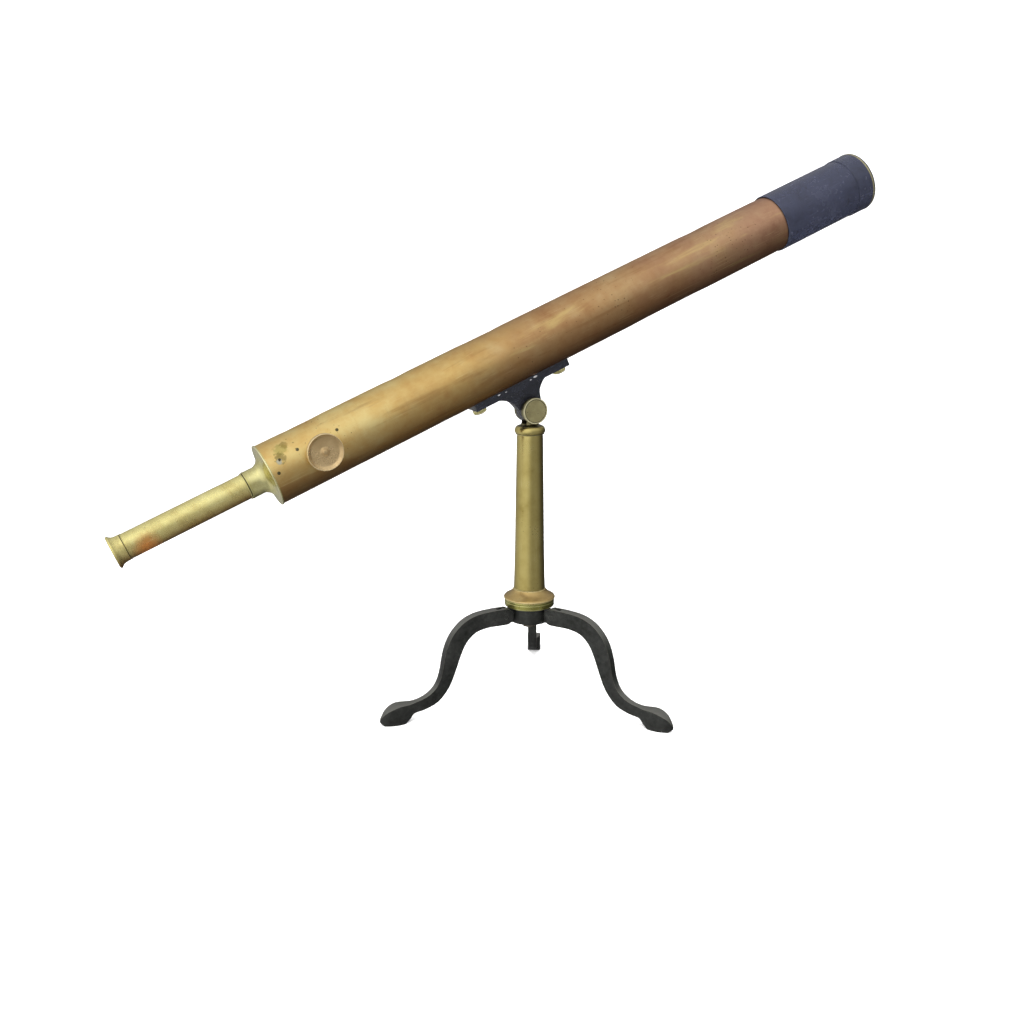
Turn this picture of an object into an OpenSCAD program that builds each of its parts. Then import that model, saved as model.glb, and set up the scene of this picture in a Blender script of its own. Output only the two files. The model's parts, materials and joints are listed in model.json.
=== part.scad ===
// Brass refracting telescope on a pillar with three folding cabriole legs.
// Units are millimetres. +Z is up and the floor is z = 0.
// The origin is on the floor under the pillar's axis.
// +X is the heading of the objective end; the focus knob is on the -Y side.

/* [Stand] */
// Height of the tilt pivot above the floor
pivot_z = 420; // [380:1:460]
// Underside of the foot band, where the legs stop
hub_top = 141.5; // [125:0.5:160]
// Height of a leg's root
root_h = 23; // [18:0.5:28]
// Radius from the pillar's axis to a leg pin
pin_r = 40; // [34:0.5:48]
// Width of a leg at its root
leg_w = 15; // [11:0.5:18]
// Radius from the pillar's axis to the tip of a foot
foot_tip_r = 229; // [200:1:260]
// Turn of the rearmost leg about the pillar
leg_turn = 62; // [0:1:120]
// Radius of the column at its lower end
column_r = 22.2; // [19:0.1:26]
// Radius of the foot band
band_r = 35.2; // [31:0.1:40]

/* [Pivot head] */
// Radius of the fork's round cheeks
cheek_r = 17.5; // [15:0.1:20]
// Half width of the bracket's lug between the cheeks
lug_half = 7.9; // [6:0.1:10]
// Thickness of one cheek
cheek_t = 5.5; // [4:0.1:7]
// Radius of the pivot bolt
bolt_r = 5; // [4:0.1:6]
// Radius of the vertical spindle
spindle_r = 8; // [6:0.1:9.5]

/* [Main tube] */
// Outside diameter of the main tube
tube_d = 80; // [72:0.5:96]
// Wall of the main tube
tube_wall = 1.5; // [1:0.1:2.5]
// Angle of the tube above level
tube_tilt = 22.4; // [0:0.1:40]
// Distance from the pivot up to the tube's axis
axis_h = 82.2; // [78:0.1:96]
// Distance from the saddle's middle back to the eye end of the tube
tube_back = 358; // [330:1:400]
// Distance from the saddle's middle to the objective end of the tube
tube_front = 594; // [560:1:640]
// Length of the saddle bracket
saddle_l = 148; // [130:1:180]
// Distance of the bracket's middle from the pivot, towards the eye end
saddle_back = 4; // [0:0.5:8]

/* [Sunshade] */
// Length of the sliding sunshade
shade_l = 165; // [140:1:190]
// Wall of the sunshade
shade_wall = 1.6; // [1.2:0.1:2.2]
// Length of the ring at the sunshade's mouth
mouth_l = 31; // [20:1:40]

/* [Focus and eye end] */
// Outside diameter of the drawtube
draw_d = 33; // [30:0.2:36]
// Wall of the drawtube
draw_wall = 1.2; // [1:0.1:1.6]
// Length of the drawtube that shows at rest
draw_out = 162; // [120:1:180]
// Distance from the eye end of the tube to the focus shaft
focus_back = 68; // [64:1:76]
// Height of the focus shaft above the tube's axis
focus_t = 7; // [6:0.1:8]
// Diameter of the focus knob
knob_d = 47; // [40:0.5:54]
// Tooth size of the rack and pinion
gear_m = 0.8; // [0.7:0.05:0.9]
// Radius of the eyecup's rim
eyecup_r = 21; // [19:0.1:23]
// Length of the eyecup
eyecup_l = 17.5; // [12:0.5:22]

/* [Hidden] */
$fn = 96;
run = 0.05;
seat = 0.02;
step = 0.1;
gear_teeth = 12;
pitch_r = gear_m * gear_teeth / 2;
tooth_pitch = PI * gear_m;
tube_r = tube_d / 2;
bore_r = tube_r - tube_wall;
draw_r = draw_d / 2;
draw_bore = draw_r - draw_wall;
shade_bore = tube_r + 0.08;
shade_r = shade_bore + shade_wall;
shade_front = tube_front + 23;
shade_back = shade_front - shade_l;
mouth_r = shade_r + seat + 1;
collar_end = tube_back + 32;
draw_end = tube_back + 28 + draw_out;
focus_s = -tube_back + focus_back;
tail_in = 8;
pin_z = hub_top - root_h / 2 - step;
knuckle_r = root_h / 2;
pin_rad = 3;
column_lo = hub_top + 24.5;
column_hi = pivot_z - 34.5;
collar_top = pivot_z - 22.5;
column_bore = column_r - 8.2;
rod_r = 5;
saddle_drop = tube_r + 6;
thumb_s = saddle_l / 2 - 10;
box_half = 33;
guide_s = focus_s + box_half + 3;
guide_l = 15;
stop_s = guide_s + 46;
lens_r = bore_r - 2;
cell_s = tube_front;
face_y = tube_r + 4.5;

// Curve through a list of points, with sub steps between neighbours.
function knot(p, i) = p[min(max(i, 0), len(p) - 1)];
function weave(a, b, c, d, u) = 0.5 * (2 * b + (c - a) * u
    + (2 * a - 5 * b + 4 * c - d) * u * u + (3 * b - a - 3 * c + d) * u * u * u);
function curve(p, sub) = concat([for (i = [0:len(p) - 2]) for (k = [0:sub - 1])
    weave(knot(p, i - 1), p[i], p[i + 1], knot(p, i + 2), k / sub)], [p[len(p) - 1]]);

// Tube frame: +X runs to the objective, +Z is square to the tube and up.
module on_tube() {
    translate([0, 0, pivot_z])
        rotate([0, -tube_tilt, 0])
            translate([0, 0, axis_h])
                children();
}

// Turned piece about the tube's axis; points are [radius, distance along].
module turned(points) {
    rotate([0, 90, 0])
        rotate_extrude()
            polygon(points);
}

// Plain ring about the tube's axis.
module ring(r1, r0, from, to) {
    turned([[r0, from], [r1, from], [r1, to], [r0, to]]);
}

// Rod along the tube from one distance to another.
module rod(r, from, to) {
    translate([from, 0, 0])
        rotate([0, 90, 0])
            cylinder(r = r, h = to - from);
}

// Place a piece with its +Z along -Y, at the focus shaft.
module at_shaft() {
    translate([focus_s, 0, focus_t])
        rotate([90, 0, 0])
            children();
}

// Place a piece with its +Z along -Y, at the tilt pivot.
module at_pivot() {
    translate([0, 0, pivot_z])
        rotate([90, 0, 0])
            children();
}

// ---- Stand ----

module hub() color([0.16, 0.17, 0.15]) {
    difference() {
        union() {
            translate([0, 0, hub_top - root_h])
                cylinder(r = pin_r - knuckle_r - 1.7, h = root_h - 0.6);
            for (k = [0:2])
                rotate([0, 0, leg_turn + 120 * k])
                    tongue();
        }
        translate([0, 0, hub_top - root_h - 1])
            cylinder(r = rod_r + run, h = root_h + 2);
        for (k = [0:2])
            rotate([0, 0, leg_turn + 120 * k])
                translate([pin_r, 10, pin_z])
                    rotate([90, 0, 0])
                        cylinder(r = pin_rad + seat, h = 20);
    }
}

module tongue() {
    tip = knuckle_r - 0.9;
    rotate([90, 0, 0])
        linear_extrude(height = 6, center = true)
            union() {
                translate([pin_r, pin_z])
                    circle(r = tip);
                translate([rod_r + 5, pin_z - tip])
                    square([pin_r - rod_r - 5, 2 * tip]);
            }
}

module leg_pins() color([0.45, 0.40, 0.25]) {
    for (k = [0:2])
        rotate([0, 0, leg_turn + 120 * k])
            translate([pin_r, leg_w / 2, pin_z])
                rotate([90, 0, 0])
                    cylinder(r = pin_rad, h = leg_w);
}

module foot_band() color([0.62, 0.60, 0.28]) {
    top = hub_top + 10.5;
    rotate_extrude()
        polygon([[rod_r + run, hub_top], [band_r - 1, hub_top], [band_r, hub_top + 1],
            [band_r, top - 1], [band_r - 0.5, top], [rod_r + run, top]]);
}

module foot_flare() color([0.74, 0.52, 0.30]) {
    z0 = hub_top + 10.5;
    r0 = column_r;
    side = curve([[band_r + 0.8, z0], [band_r + 1.3, z0 + 1.4], [band_r + 0.6, z0 + 3.2],
        [band_r - 2.2, z0 + 6.2], [r0 + 5.6, z0 + 9], [r0 + 2.2, z0 + 11.6], [r0 + 0.3, z0 + 14]], 4);
    rotate_extrude()
        polygon(concat([[rod_r + run, z0]], side, [[rod_r + run, column_lo]]));
}

module column() color([0.70, 0.62, 0.32]) {
    h = column_hi - column_lo;
    side = curve([[column_r, column_lo], [column_r - 0.5, column_lo + 0.06 * h],
        [column_r - 1.1, column_lo + 0.16 * h], [column_r - 1.9, column_lo + 0.35 * h],
        [column_r - 2.7, column_lo + 0.6 * h], [column_r - 3.5, column_lo + 0.82 * h],
        [column_r - 4.0, column_hi - 1.2]], 3);
    rotate_extrude()
        polygon(concat([[column_bore, column_lo]], side, [[column_r - 4.3, column_hi],
            [column_bore, column_hi]]));
}

module column_plug() color([0.55, 0.45, 0.25]) {
    translate([0, 0, column_lo])
        difference() {
            cylinder(r = column_bore - seat, h = 24);
            translate([0, 0, -1])
                cylinder(r = rod_r + seat, h = 26);
        }
}

module tie_bolt() color([0.35, 0.34, 0.32]) {
    z0 = hub_top - root_h - 2;
    translate([0, 0, z0 - 7])
        cylinder(r = 9.5, h = 7, $fn = 6);
    translate([0, 0, z0 - 1])
        cylinder(r = rod_r, h = column_lo + 20 - z0);
}

module tie_washer() color([0.50, 0.46, 0.30]) {
    translate([0, 0, hub_top - root_h - 2])
        difference() {
            cylinder(r = 12.5, h = 2);
            translate([0, 0, -1])
                cylinder(r = rod_r + run, h = 4);
        }
}

module column_collar() color([0.72, 0.66, 0.34]) {
    b = column_r - 1;
    z0 = column_hi;
    h = collar_top - column_hi;
    side = curve([[column_r - 4, z0], [column_r - 3.6, z0 + 0.10 * h], [b - 0.9, z0 + 0.24 * h],
        [b, z0 + 0.48 * h], [b - 0.5, z0 + 0.74 * h], [b - 2.4, z0 + 0.95 * h], [b - 3.4, z0 + h]], 3);
    neck = column_bore - seat;
    hole = spindle_r + 3;
    rotate_extrude()
        polygon(concat([[hole, z0 - 16], [neck, z0 - 16], [neck, z0]], side, [[hole, collar_top]]));
}

module spindle_bush() color([0.60, 0.52, 0.28]) {
    z0 = collar_top - 62;
    translate([0, 0, z0])
        difference() {
            cylinder(r = spindle_r + 3 - seat, h = 62);
            translate([0, 0, -1])
                cylinder(r = spindle_r + run, h = 64);
        }
}

// ---- Legs ----

// Side view of a leg, [radius, height]; s stretches it to the foot's radius.
function leg_top(s) = curve([[pin_r, hub_top - step], [pin_r + 22 * s, hub_top - step - 0.2],
    [pin_r + 45 * s, hub_top - 2.6], [pin_r + 64 * s, hub_top - 10],
    [pin_r + 79 * s, hub_top - 23.5], [pin_r + 88.5 * s, hub_top - 39],
    [pin_r + 94.5 * s, hub_top * 0.59], [pin_r + 99 * s, hub_top * 0.43],
    [pin_r + 107.5 * s, hub_top * 0.3], [pin_r + 123 * s, hub_top * 0.22],
    [pin_r + 143 * s, 26.5], [pin_r + 163 * s, 26.5], [pin_r + 179 * s, 20.5],
    [pin_r + 188 * s, 11], [pin_r + 189 * s, 5], [pin_r + 184 * s, 0]], 3);
function leg_under(s) = curve([[pin_r + 156 * s, 0], [pin_r + 149 * s, 4.5],
    [pin_r + 141 * s, 11.5], [pin_r + 125 * s, 14], [pin_r + 105 * s, 22],
    [pin_r + 88.5 * s, hub_top * 0.285], [pin_r + 78 * s, hub_top * 0.45],
    [pin_r + 70 * s, hub_top * 0.6], [pin_r + 61 * s, hub_top - 39.5],
    [pin_r + 47 * s, hub_top - 27.4], [pin_r + 29 * s, hub_top - root_h - 0.2],
    [pin_r + 12 * s, hub_top - root_h - step], [pin_r, hub_top - root_h - step]], 3);
function knuckle() = [for (k = [1:17])
    [pin_r - knuckle_r * sin(k * 10), pin_z - knuckle_r * cos(k * 10)]];

// Plan view of half a leg, [radius, half width].
function leg_plan(s) = curve([[pin_r + 16 * s, leg_w / 2], [pin_r + 70 * s, leg_w * 0.45],
    [pin_r + 98 * s, leg_w * 0.41], [pin_r + 118 * s, leg_w * 0.37], [pin_r + 138 * s, leg_w * 0.36],
    [pin_r + 147 * s, leg_w * 0.52], [pin_r + 158 * s, leg_w * 0.66], [pin_r + 168 * s, leg_w * 0.67],
    [pin_r + 178 * s, leg_w * 0.5], [pin_r + 186 * s, leg_w * 0.2], [pin_r + 190 * s, 0.4]], 3);

module leg(turn) color([0.20, 0.20, 0.18]) {
    s = (foot_tip_r - pin_r) / 189;
    plan = leg_plan(s);
    n = len(plan);
    back = [for (k = [0:n - 1]) [plan[n - 1 - k][0], -plan[n - 1 - k][1]]];
    rotate([0, 0, turn])
        difference() {
            intersection() {
                rotate([90, 0, 0])
                    linear_extrude(height = 2 * leg_w, center = true)
                        polygon(concat(leg_top(s), leg_under(s), knuckle()));
                linear_extrude(height = hub_top)
                    polygon(concat([[pin_r - 20, leg_w / 2]], plan, back, [[pin_r - 20, -leg_w / 2]]));
            }
            translate([pin_r - 20, -3.1, pin_z - 20])
                cube([20 + knuckle_r + 1, 6.2, 40]);
            translate([pin_r, leg_w, pin_z])
                rotate([90, 0, 0])
                    cylinder(r = pin_rad + run, h = 2 * leg_w);
        }
}

module leg_back() leg(leg_turn);

module leg_left() leg(leg_turn + 120);

module leg_right() leg(leg_turn + 240);

// ---- Pivot head ----

module pivot_fork() color([0.42, 0.40, 0.24]) {
    out = lug_half + 0.1 + cheek_t;
    floor_z = pivot_z - cheek_r - 1.2;
    foot = column_r - 5.4;
    side = curve([[foot, collar_top + 0.05], [foot - 0.4, collar_top + 0.7],
        [out - 0.4, collar_top + 2], [out - 1.4, collar_top + 3.6]], 3);
    difference() {
        union() {
            rotate_extrude()
                polygon(concat([[0, collar_top - 66], [spindle_r, collar_top - 66],
                    [spindle_r, collar_top + 0.05]], side, [[out - 1.4, pivot_z - 10], [0, pivot_z - 10]]));
            translate([0, out, 0])
                at_pivot()
                    cylinder(r = cheek_r, h = 2 * out);
        }
        translate([-40, -lug_half - 0.1, floor_z])
            cube([80, 2 * lug_half + 0.2, 80]);
        translate([0, 40, 0])
            at_pivot()
                cylinder(r = bolt_r + seat, h = 80);
        translate([0, 0, collar_top - 67])
            difference() {
                cylinder(r = spindle_r + 2, h = 15);
                translate([0, 0, -1])
                    cylinder(r = spindle_r - 3, h = 17);
            }
    }
}

module spindle_washer() color([0.60, 0.52, 0.28]) {
    translate([0, 0, collar_top - 62 - 2.6])
        difference() {
            cylinder(r = spindle_r + 2.8, h = 2.5);
            translate([0, 0, -1])
                cylinder(r = spindle_r - 3 + run, h = 5);
        }
}

module spindle_nut() color([0.40, 0.38, 0.34]) {
    translate([0, 0, collar_top - 72.8])
        difference() {
            cylinder(r = spindle_r + 2.5, h = 8.1, $fn = 6);
            translate([0, 0, -1])
                cylinder(r = spindle_r - 3 + seat, h = 11);
        }
}

module pivot_bolt() color([0.50, 0.46, 0.28]) {
    out = lug_half + 0.1 + cheek_t;
    side = curve([[9, 0], [8.6, -1.6], [6.2, -3.2], [3, -4.1]], 3);
    translate([0, out, 0])
        at_pivot() {
            rotate_extrude()
                polygon(concat([[0, 0]], side, [[0, -4.3]]));
            cylinder(r = bolt_r, h = 2 * out);
            cylinder(r = bolt_r - 1, h = 2 * out + 3);
        }
}

module clamp_knob() color([0.55, 0.50, 0.30]) {
    out = lug_half + 0.2 + cheek_t;
    r = cheek_r + 0.4;
    translate([0, -out, 0])
        at_pivot()
            rotate_extrude()
                polygon([[bolt_r - 1 + run, 0], [r - 0.8, 0], [r, 0.8], [r, 4.2], [r - 0.9, 5],
                    [r - 2.4, 5], [r - 3.4, 4.2], [0, 4.0], [0, 3.1], [bolt_r - 1 + run, 3.1]]);
}

// ---- Tube ----

module saddle_bracket() color([0.10, 0.11, 0.14]) on_tube() {
    half = saddle_l / 2;
    d = saddle_drop;
    fillet = curve([[half - 24, -d + 1], [half - 38, -d - 3.6], [half - 46, -d - 8.6],
        [half - 53, -d - 16.5], [cheek_r, -axis_h + 8]], 4);
    n = len(fillet);
    right = [for (k = [0:n - 1]) [fillet[k][0] - saddle_back * (n - 1 - k) / (n - 1), fillet[k][1]]];
    left = [for (k = [0:n - 1]) [-fillet[n - 1 - k][0] - saddle_back * k / (n - 1), fillet[n - 1 - k][1]]];
    difference() {
        union() {
            translate([-half - saddle_back, -18, -d])
                cube([saddle_l, 36, 14]);
            rotate([90, 0, 0])
                linear_extrude(height = 2 * lug_half, center = true)
                    union() {
                        polygon(concat([[half - 24 - saddle_back, -d + 3]], right, left,
                            [[-half + 24 - saddle_back, -d + 3]]));
                        translate([0, -axis_h])
                            circle(r = cheek_r);
                    }
        }
        rod(tube_r + seat, -half - 10, half + 10);
        translate([0, 20, -axis_h])
            rotate([90, 0, 0])
                cylinder(r = bolt_r + run, h = 40);
        for (s = [-thumb_s - saddle_back, thumb_s - saddle_back])
            translate([s, 0, -d - 1])
                cylinder(r = 3.08, h = 16);
    }
}

module main_tube() color([0.72, 0.48, 0.30]) on_tube() difference() {
    ring(tube_r, bore_r, -tube_back, tube_front);
    for (s = [-thumb_s - saddle_back, thumb_s - saddle_back])
        translate([s, 0, -tube_r - 2])
            cylinder(r = 3.4, h = 8);
    at_shaft()
        cylinder(r = 6 + seat, h = tube_r + 5);
    for (s = [-27.5, 27.5])
        translate([focus_s + s, 0, 0])
            rotate([90 - 33, 0, 0])
                cylinder(r = 1.3, h = tube_r + 5);
    for (a = [10, 130, 250])
        translate([-tube_back + 7, 0, 0])
            rotate([90 - a, 0, 0])
                cylinder(r = 1.3, h = tube_r + 5);
}

module saddle_pad() color([0.60, 0.50, 0.28]) on_tube() difference() {
    half = saddle_l / 2 - 2;
    intersection() {
        rod(bore_r - seat, -half - saddle_back, half - saddle_back);
        translate([-half - saddle_back, -14, -tube_r])
            cube([2 * half, 28, 9]);
    }
    for (s = [-thumb_s - saddle_back, thumb_s - saddle_back])
        translate([s, 0, -tube_r - 1])
            cylinder(r = 3.08, h = 12);
}

module tail_piece() color([0.74, 0.70, 0.42]) on_tube() {
    e = -tube_back;
    c = draw_r + 1.3;
    b = draw_r + 0.08;
    out = curve([[c, e - 14.5], [c + 1.2, e - 11.4], [c + 4.4, e - 7.4], [c + 9.4, e - 4.4],
        [c + 15.4, e - 2.9], [tube_r - 0.4, e - 2.4]], 3);
    difference() {
        turned(concat([[b, -collar_end], [c + 0.4, -collar_end], [c + 0.6, -collar_end + 0.7],
            [c + 0.4, -collar_end + 2.2], [c, -collar_end + 2.6]], out,
            [[tube_r + 0.9, e - 2.2], [tube_r + 0.9, e], [bore_r - seat, e],
            [bore_r - seat, e + tail_in + 4], [bore_r - 5, e + tail_in + 4], [bore_r - 7, e + 1.5],
            [b + 4, e + 1.5], [b + 3, e + tail_in], [b, e + tail_in]]));
        for (a = [10, 130, 250])
            translate([e + 7, 0, 0])
                rotate([90 - a, 0, 0])
                    translate([0, 0, bore_r - 3])
                        cylinder(r = 1.25 + seat, h = 5);
    }
}

module tail_screws() color([0.55, 0.50, 0.30]) on_tube() {
    for (a = [10, 130, 250])
        translate([-tube_back + 7, 0, 0])
            rotate([90 - a, 0, 0])
                translate([0, 0, bore_r - 2.9])
                    cylinder(r = 1.25, h = tube_wall + 3.3);
}

module pinion_box() color([0.60, 0.50, 0.28]) on_tube() difference() {
    union() {
        intersection() {
            ring(bore_r - seat, bore_r - 4, focus_s - box_half, focus_s + box_half);
            translate([focus_s - box_half - 1, -tube_r, focus_t - 14])
                cube([2 * box_half + 2, tube_r - 12, 34]);
        }
        intersection() {
            rod(bore_r - seat, focus_s - 9, focus_s + 9);
            translate([0, -draw_r - 7, 0])
                at_shaft()
                    cylinder(r = 8, h = tube_r - draw_r - 7);
        }
    }
    at_shaft()
        cylinder(r = 2.5 + run, h = tube_r + 5);
    translate([0, -tube_r + 4, 0])
        at_shaft()
            cylinder(r = 6 + seat, h = 8);
    for (s = [-27.5, 27.5])
        translate([focus_s + s, 0, 0])
            rotate([90 - 33, 0, 0])
                cylinder(r = 1.25 + seat, h = tube_r + 5);
}

module box_screws() color([0.55, 0.50, 0.30]) on_tube() {
    for (s = [-27.5, 27.5])
        translate([focus_s + s, 0, 0])
            rotate([90 - 33, 0, 0])
                translate([0, 0, bore_r - 5])
                    cylinder(r = 1.25, h = tube_wall + 5.4);
}

module pinion_bush() color([0.70, 0.62, 0.34]) on_tube() difference() {
    union() {
        translate([0, -tube_r + 3.9, 0])
            at_shaft()
                cylinder(r = 6, h = 4.4);
        translate([0, -tube_r, 0])
            at_shaft()
                cylinder(r = 8.5, h = 1.6);
    }
    at_shaft()
        cylinder(r = 2.5 + run, h = tube_r + 5);
}

module draw_guide() color([0.60, 0.52, 0.28]) on_tube() difference() {
    turned([[draw_r + 0.08, guide_s], [bore_r - 8, guide_s], [bore_r - seat, guide_s + 3],
        [bore_r - seat, guide_s + guide_l - 3], [bore_r - 8, guide_s + guide_l],
        [draw_r + 0.08, guide_s + guide_l]]);
    translate([guide_s - 1, -draw_r - 8, focus_t - pitch_r - 6])
        cube([guide_l + 2, 12, 8]);
}

module baffle(s, hole) {
    difference() {
        ring(bore_r - seat, hole, s, s + 5);
        ring(bore_r - 1, hole - 1, s + 1, s + 6);
    }
}

module baffle_rear() color([0.08, 0.08, 0.08]) on_tube() baffle(110, bore_r * 0.62);

module baffle_front() color([0.08, 0.08, 0.08]) on_tube() baffle(350, bore_r * 0.8);

module objective_cell() color([0.66, 0.56, 0.30]) on_tube() {
    turned([[lens_r - 2, cell_s - 20], [bore_r - seat, cell_s - 20], [bore_r - seat, cell_s],
        [tube_r - 0.5, cell_s], [tube_r - 0.5, cell_s + 4], [tube_r - 1.5, cell_s + 5],
        [lens_r + run, cell_s + 5], [lens_r + run, cell_s - 16], [lens_r - 2, cell_s - 16]]);
}

// Sagitta of a curved lens face; a negative radius bows the other way.
function sag(big, r) = sign(big) * (abs(big) - sqrt(big * big - r * r));

// Lens as a turned profile: r is its radius, s and t its start and middle thickness.
module lens(r, s, t, front, back) {
    n = 6;
    turned(concat([for (k = [0:n]) [r * k / n, s + sag(back, r * k / n)]],
        [for (k = [0:n]) [r * (n - k) / n, s + t - sag(front, r * (n - k) / n)]]));
}

module crown_lens() color([0.75, 0.85, 0.88, 0.5]) on_tube()
    lens(lens_r - run, cell_s - 8.5, 9, 460, 320);

module flint_lens() color([0.75, 0.85, 0.80, 0.5]) on_tube()
    lens(lens_r - run, cell_s - 15.9, 5, -322, 4000);

module lens_spacer() color([0.30, 0.30, 0.30]) on_tube()
    ring(lens_r - run, lens_r - 1.6, cell_s - 10.9 + sag(322, lens_r - run) + seat,
        cell_s - 8.5 + sag(320, lens_r - 1.6) - seat);

module cell_ring() color([0.66, 0.56, 0.30]) on_tube() {
    low = cell_s + 0.5 - sag(460, lens_r - 2.4) + seat;
    turned([[lens_r - run, low], [lens_r - run, cell_s + 3.4], [lens_r - 1.2, cell_s + 3.4],
        [lens_r - 2.4, cell_s + 0.6], [lens_r - 2.4, low]]);
}

module thumbscrew(s) {
    translate([s, 0, -saddle_drop - 0.1]) {
        rotate_extrude()
            polygon([[0, -8.6], [6.5, -8.6], [8.6, -7.6], [9.4, -6.2], [9.4, -2.6], [8.6, -1.6],
                [6, -1.4], [6, 0], [0, 0]]);
        cylinder(r = 3, h = saddle_drop - bore_r + 4.5);
    }
}

module thumbscrew_rear() color([0.68, 0.62, 0.36]) on_tube() thumbscrew(-thumb_s - saddle_back);

module thumbscrew_front() color([0.68, 0.62, 0.36]) on_tube() thumbscrew(thumb_s - saddle_back);

// ---- Sunshade ----

module sunshade() color([0.07, 0.08, 0.11]) on_tube()
    turned([[shade_bore, shade_back], [shade_r - 0.4, shade_back], [shade_r, shade_back + 0.6],
        [shade_r, shade_front], [shade_bore, shade_front]]);

module mouth_ring() color([0.16, 0.15, 0.12]) on_tube() {
    b = shade_front - mouth_l;
    turned([[shade_r + seat, b], [mouth_r - 0.5, b], [mouth_r, b + 1.2], [mouth_r, shade_front - 1],
        [mouth_r - 0.5, shade_front], [shade_r + seat, shade_front]]);
}

// ---- Drawtube ----

module drawtube() color([0.72, 0.68, 0.40]) on_tube() difference() {
    ring(draw_r, draw_bore, -draw_end, stop_s);
    for (s = [8, 58])
        translate([focus_s - 33 + s, 0, 0])
            rotate([90, 0, 0])
                cylinder(r = 1.3, h = draw_r + 5);
}

module focus_rack() color([0.60, 0.52, 0.28]) on_tube() {
    a = 0.5 * tooth_pitch;
    n = 13;
    top = focus_t - pitch_r;
    tip = 0.48;
    root = 0.95;
    lean = tan(20);
    w = 0.25 * tooth_pitch - 0.05;
    teeth = [for (k = [-n:n - 1]) for (q = [[-w - root * lean, -root], [-w + tip * lean, tip],
        [w - tip * lean, tip], [w + root * lean, -root]])
        [focus_s + a + k * tooth_pitch + q[0], top + q[1]]];
    difference() {
        translate([0, -draw_r + 0.7, 0])
            rotate([90, 0, 0])
                linear_extrude(height = 6.5)
                    polygon(concat([[focus_s - 33.5, top - 5]], [[focus_s - 33.5, top - root]],
                        teeth, [[focus_s + 33.5, top - root], [focus_s + 33.5, top - 5]]));
        rod(draw_r + seat, focus_s - 40, focus_s + 40);
        for (s = [8, 58])
            translate([focus_s - 33 + s, 0, 0])
                rotate([90, 0, 0])
                    cylinder(r = 1.2, h = draw_r + 10);
    }
}

module rack_screws() color([0.50, 0.48, 0.40]) on_tube() {
    for (s = [8, 58])
        translate([focus_s - 33 + s, 0, 0])
            rotate([90, 0, 0])
                translate([0, 0, draw_bore])
                    cylinder(r = 1.18, h = draw_wall + 3);
}

module draw_stop() color([0.60, 0.52, 0.28]) on_tube()
    ring(draw_r + 2.4, draw_r + seat, stop_s - 6, stop_s);

// Small lenses: radius of a curved face over the lens radius, and the relay lens radius.
bow = 4.2;
relay_r = draw_bore - 1.1;

module erector_tube() color([0.58, 0.50, 0.28]) on_tube()
    ring(draw_bore - 0.04, draw_bore - 1, -tube_back - 50, -tube_back + 60);

module erector_lens_rear() color([0.75, 0.85, 0.88, 0.5]) on_tube()
    lens(relay_r, -tube_back - 46, 4.5, bow * relay_r, bow * relay_r);

module erector_lens_front() color([0.75, 0.85, 0.88, 0.5]) on_tube()
    lens(relay_r, -tube_back + 51.5, 4.5, bow * relay_r, bow * relay_r);

module erector_rings() color([0.30, 0.28, 0.22]) on_tube()
    for (s = [-tube_back - 50, -tube_back + 56.4])
        ring(draw_bore - 1.05, draw_bore - 4, s, s + 3.6);

// ---- Focus pinion ----

function inv_ang(r, base) = let (a = acos(min(1, base / r))) tan(a) * 180 / PI - a;
function polar(r, a) = [r * cos(a), r * sin(a)];

module pinion_shape() {
    base = pitch_r * cos(20);
    out = pitch_r + 0.9 * gear_m;
    root = pitch_r - 0.85 * gear_m;
    half = 90 / gear_teeth - 0.09 / pitch_r * 180 / PI + inv_ang(pitch_r, base);
    radii = [for (k = [0:5]) base + (out - base) * k / 5];
    up = [for (r = radii) [r, half - inv_ang(r, base)]];
    points = [for (t = [0:gear_teeth - 1]) let (c = t * 360 / gear_teeth) for (q = concat(
        [[root, -half]], [for (u = up) [u[0], -u[1]]],
        [for (k = [0:5]) [up[5 - k][0], up[5 - k][1]]], [[root, half]])) polar(q[0], c + q[1])];
    rotate(-90)
        polygon(points);
}

module pinion_shaft() color([0.62, 0.60, 0.55]) on_tube() {
    translate([0, -draw_r - 0.7, 0])
        at_shaft()
            linear_extrude(height = 5.2)
                pinion_shape();
    translate([0, -draw_r - 5.9, 0])
        at_shaft()
            cylinder(r = 2.5, h = face_y + 4 - draw_r - 5.9);
}

module focus_knob() color([0.66, 0.58, 0.38]) on_tube() {
    r = knob_d / 2;
    translate([0, -face_y, 0])
        at_shaft()
            rotate_extrude()
                polygon([[2.5 + seat, -2.6], [7, -2.6], [7, 0], [r - 1.4, 0], [r, 1.4], [r, 6],
                    [r - 0.8, 7.2], [r - 1.8, 7.2], [r - 3.2, 5.4], [r - 10, 4.2], [6, 4], [2.5 + seat, 4]]);
}

module knob_screw() color([0.70, 0.64, 0.42]) on_tube() {
    side = curve([[4.2, 0], [4, 0.9], [2.9, 1.7], [1.2, 2.2]], 3);
    translate([0, -face_y - 4.01, 0])
        at_shaft()
            rotate_extrude()
                polygon(concat([[0, 0]], side, [[0, 2.3]]));
}

// ---- Eyepiece ----

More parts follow.
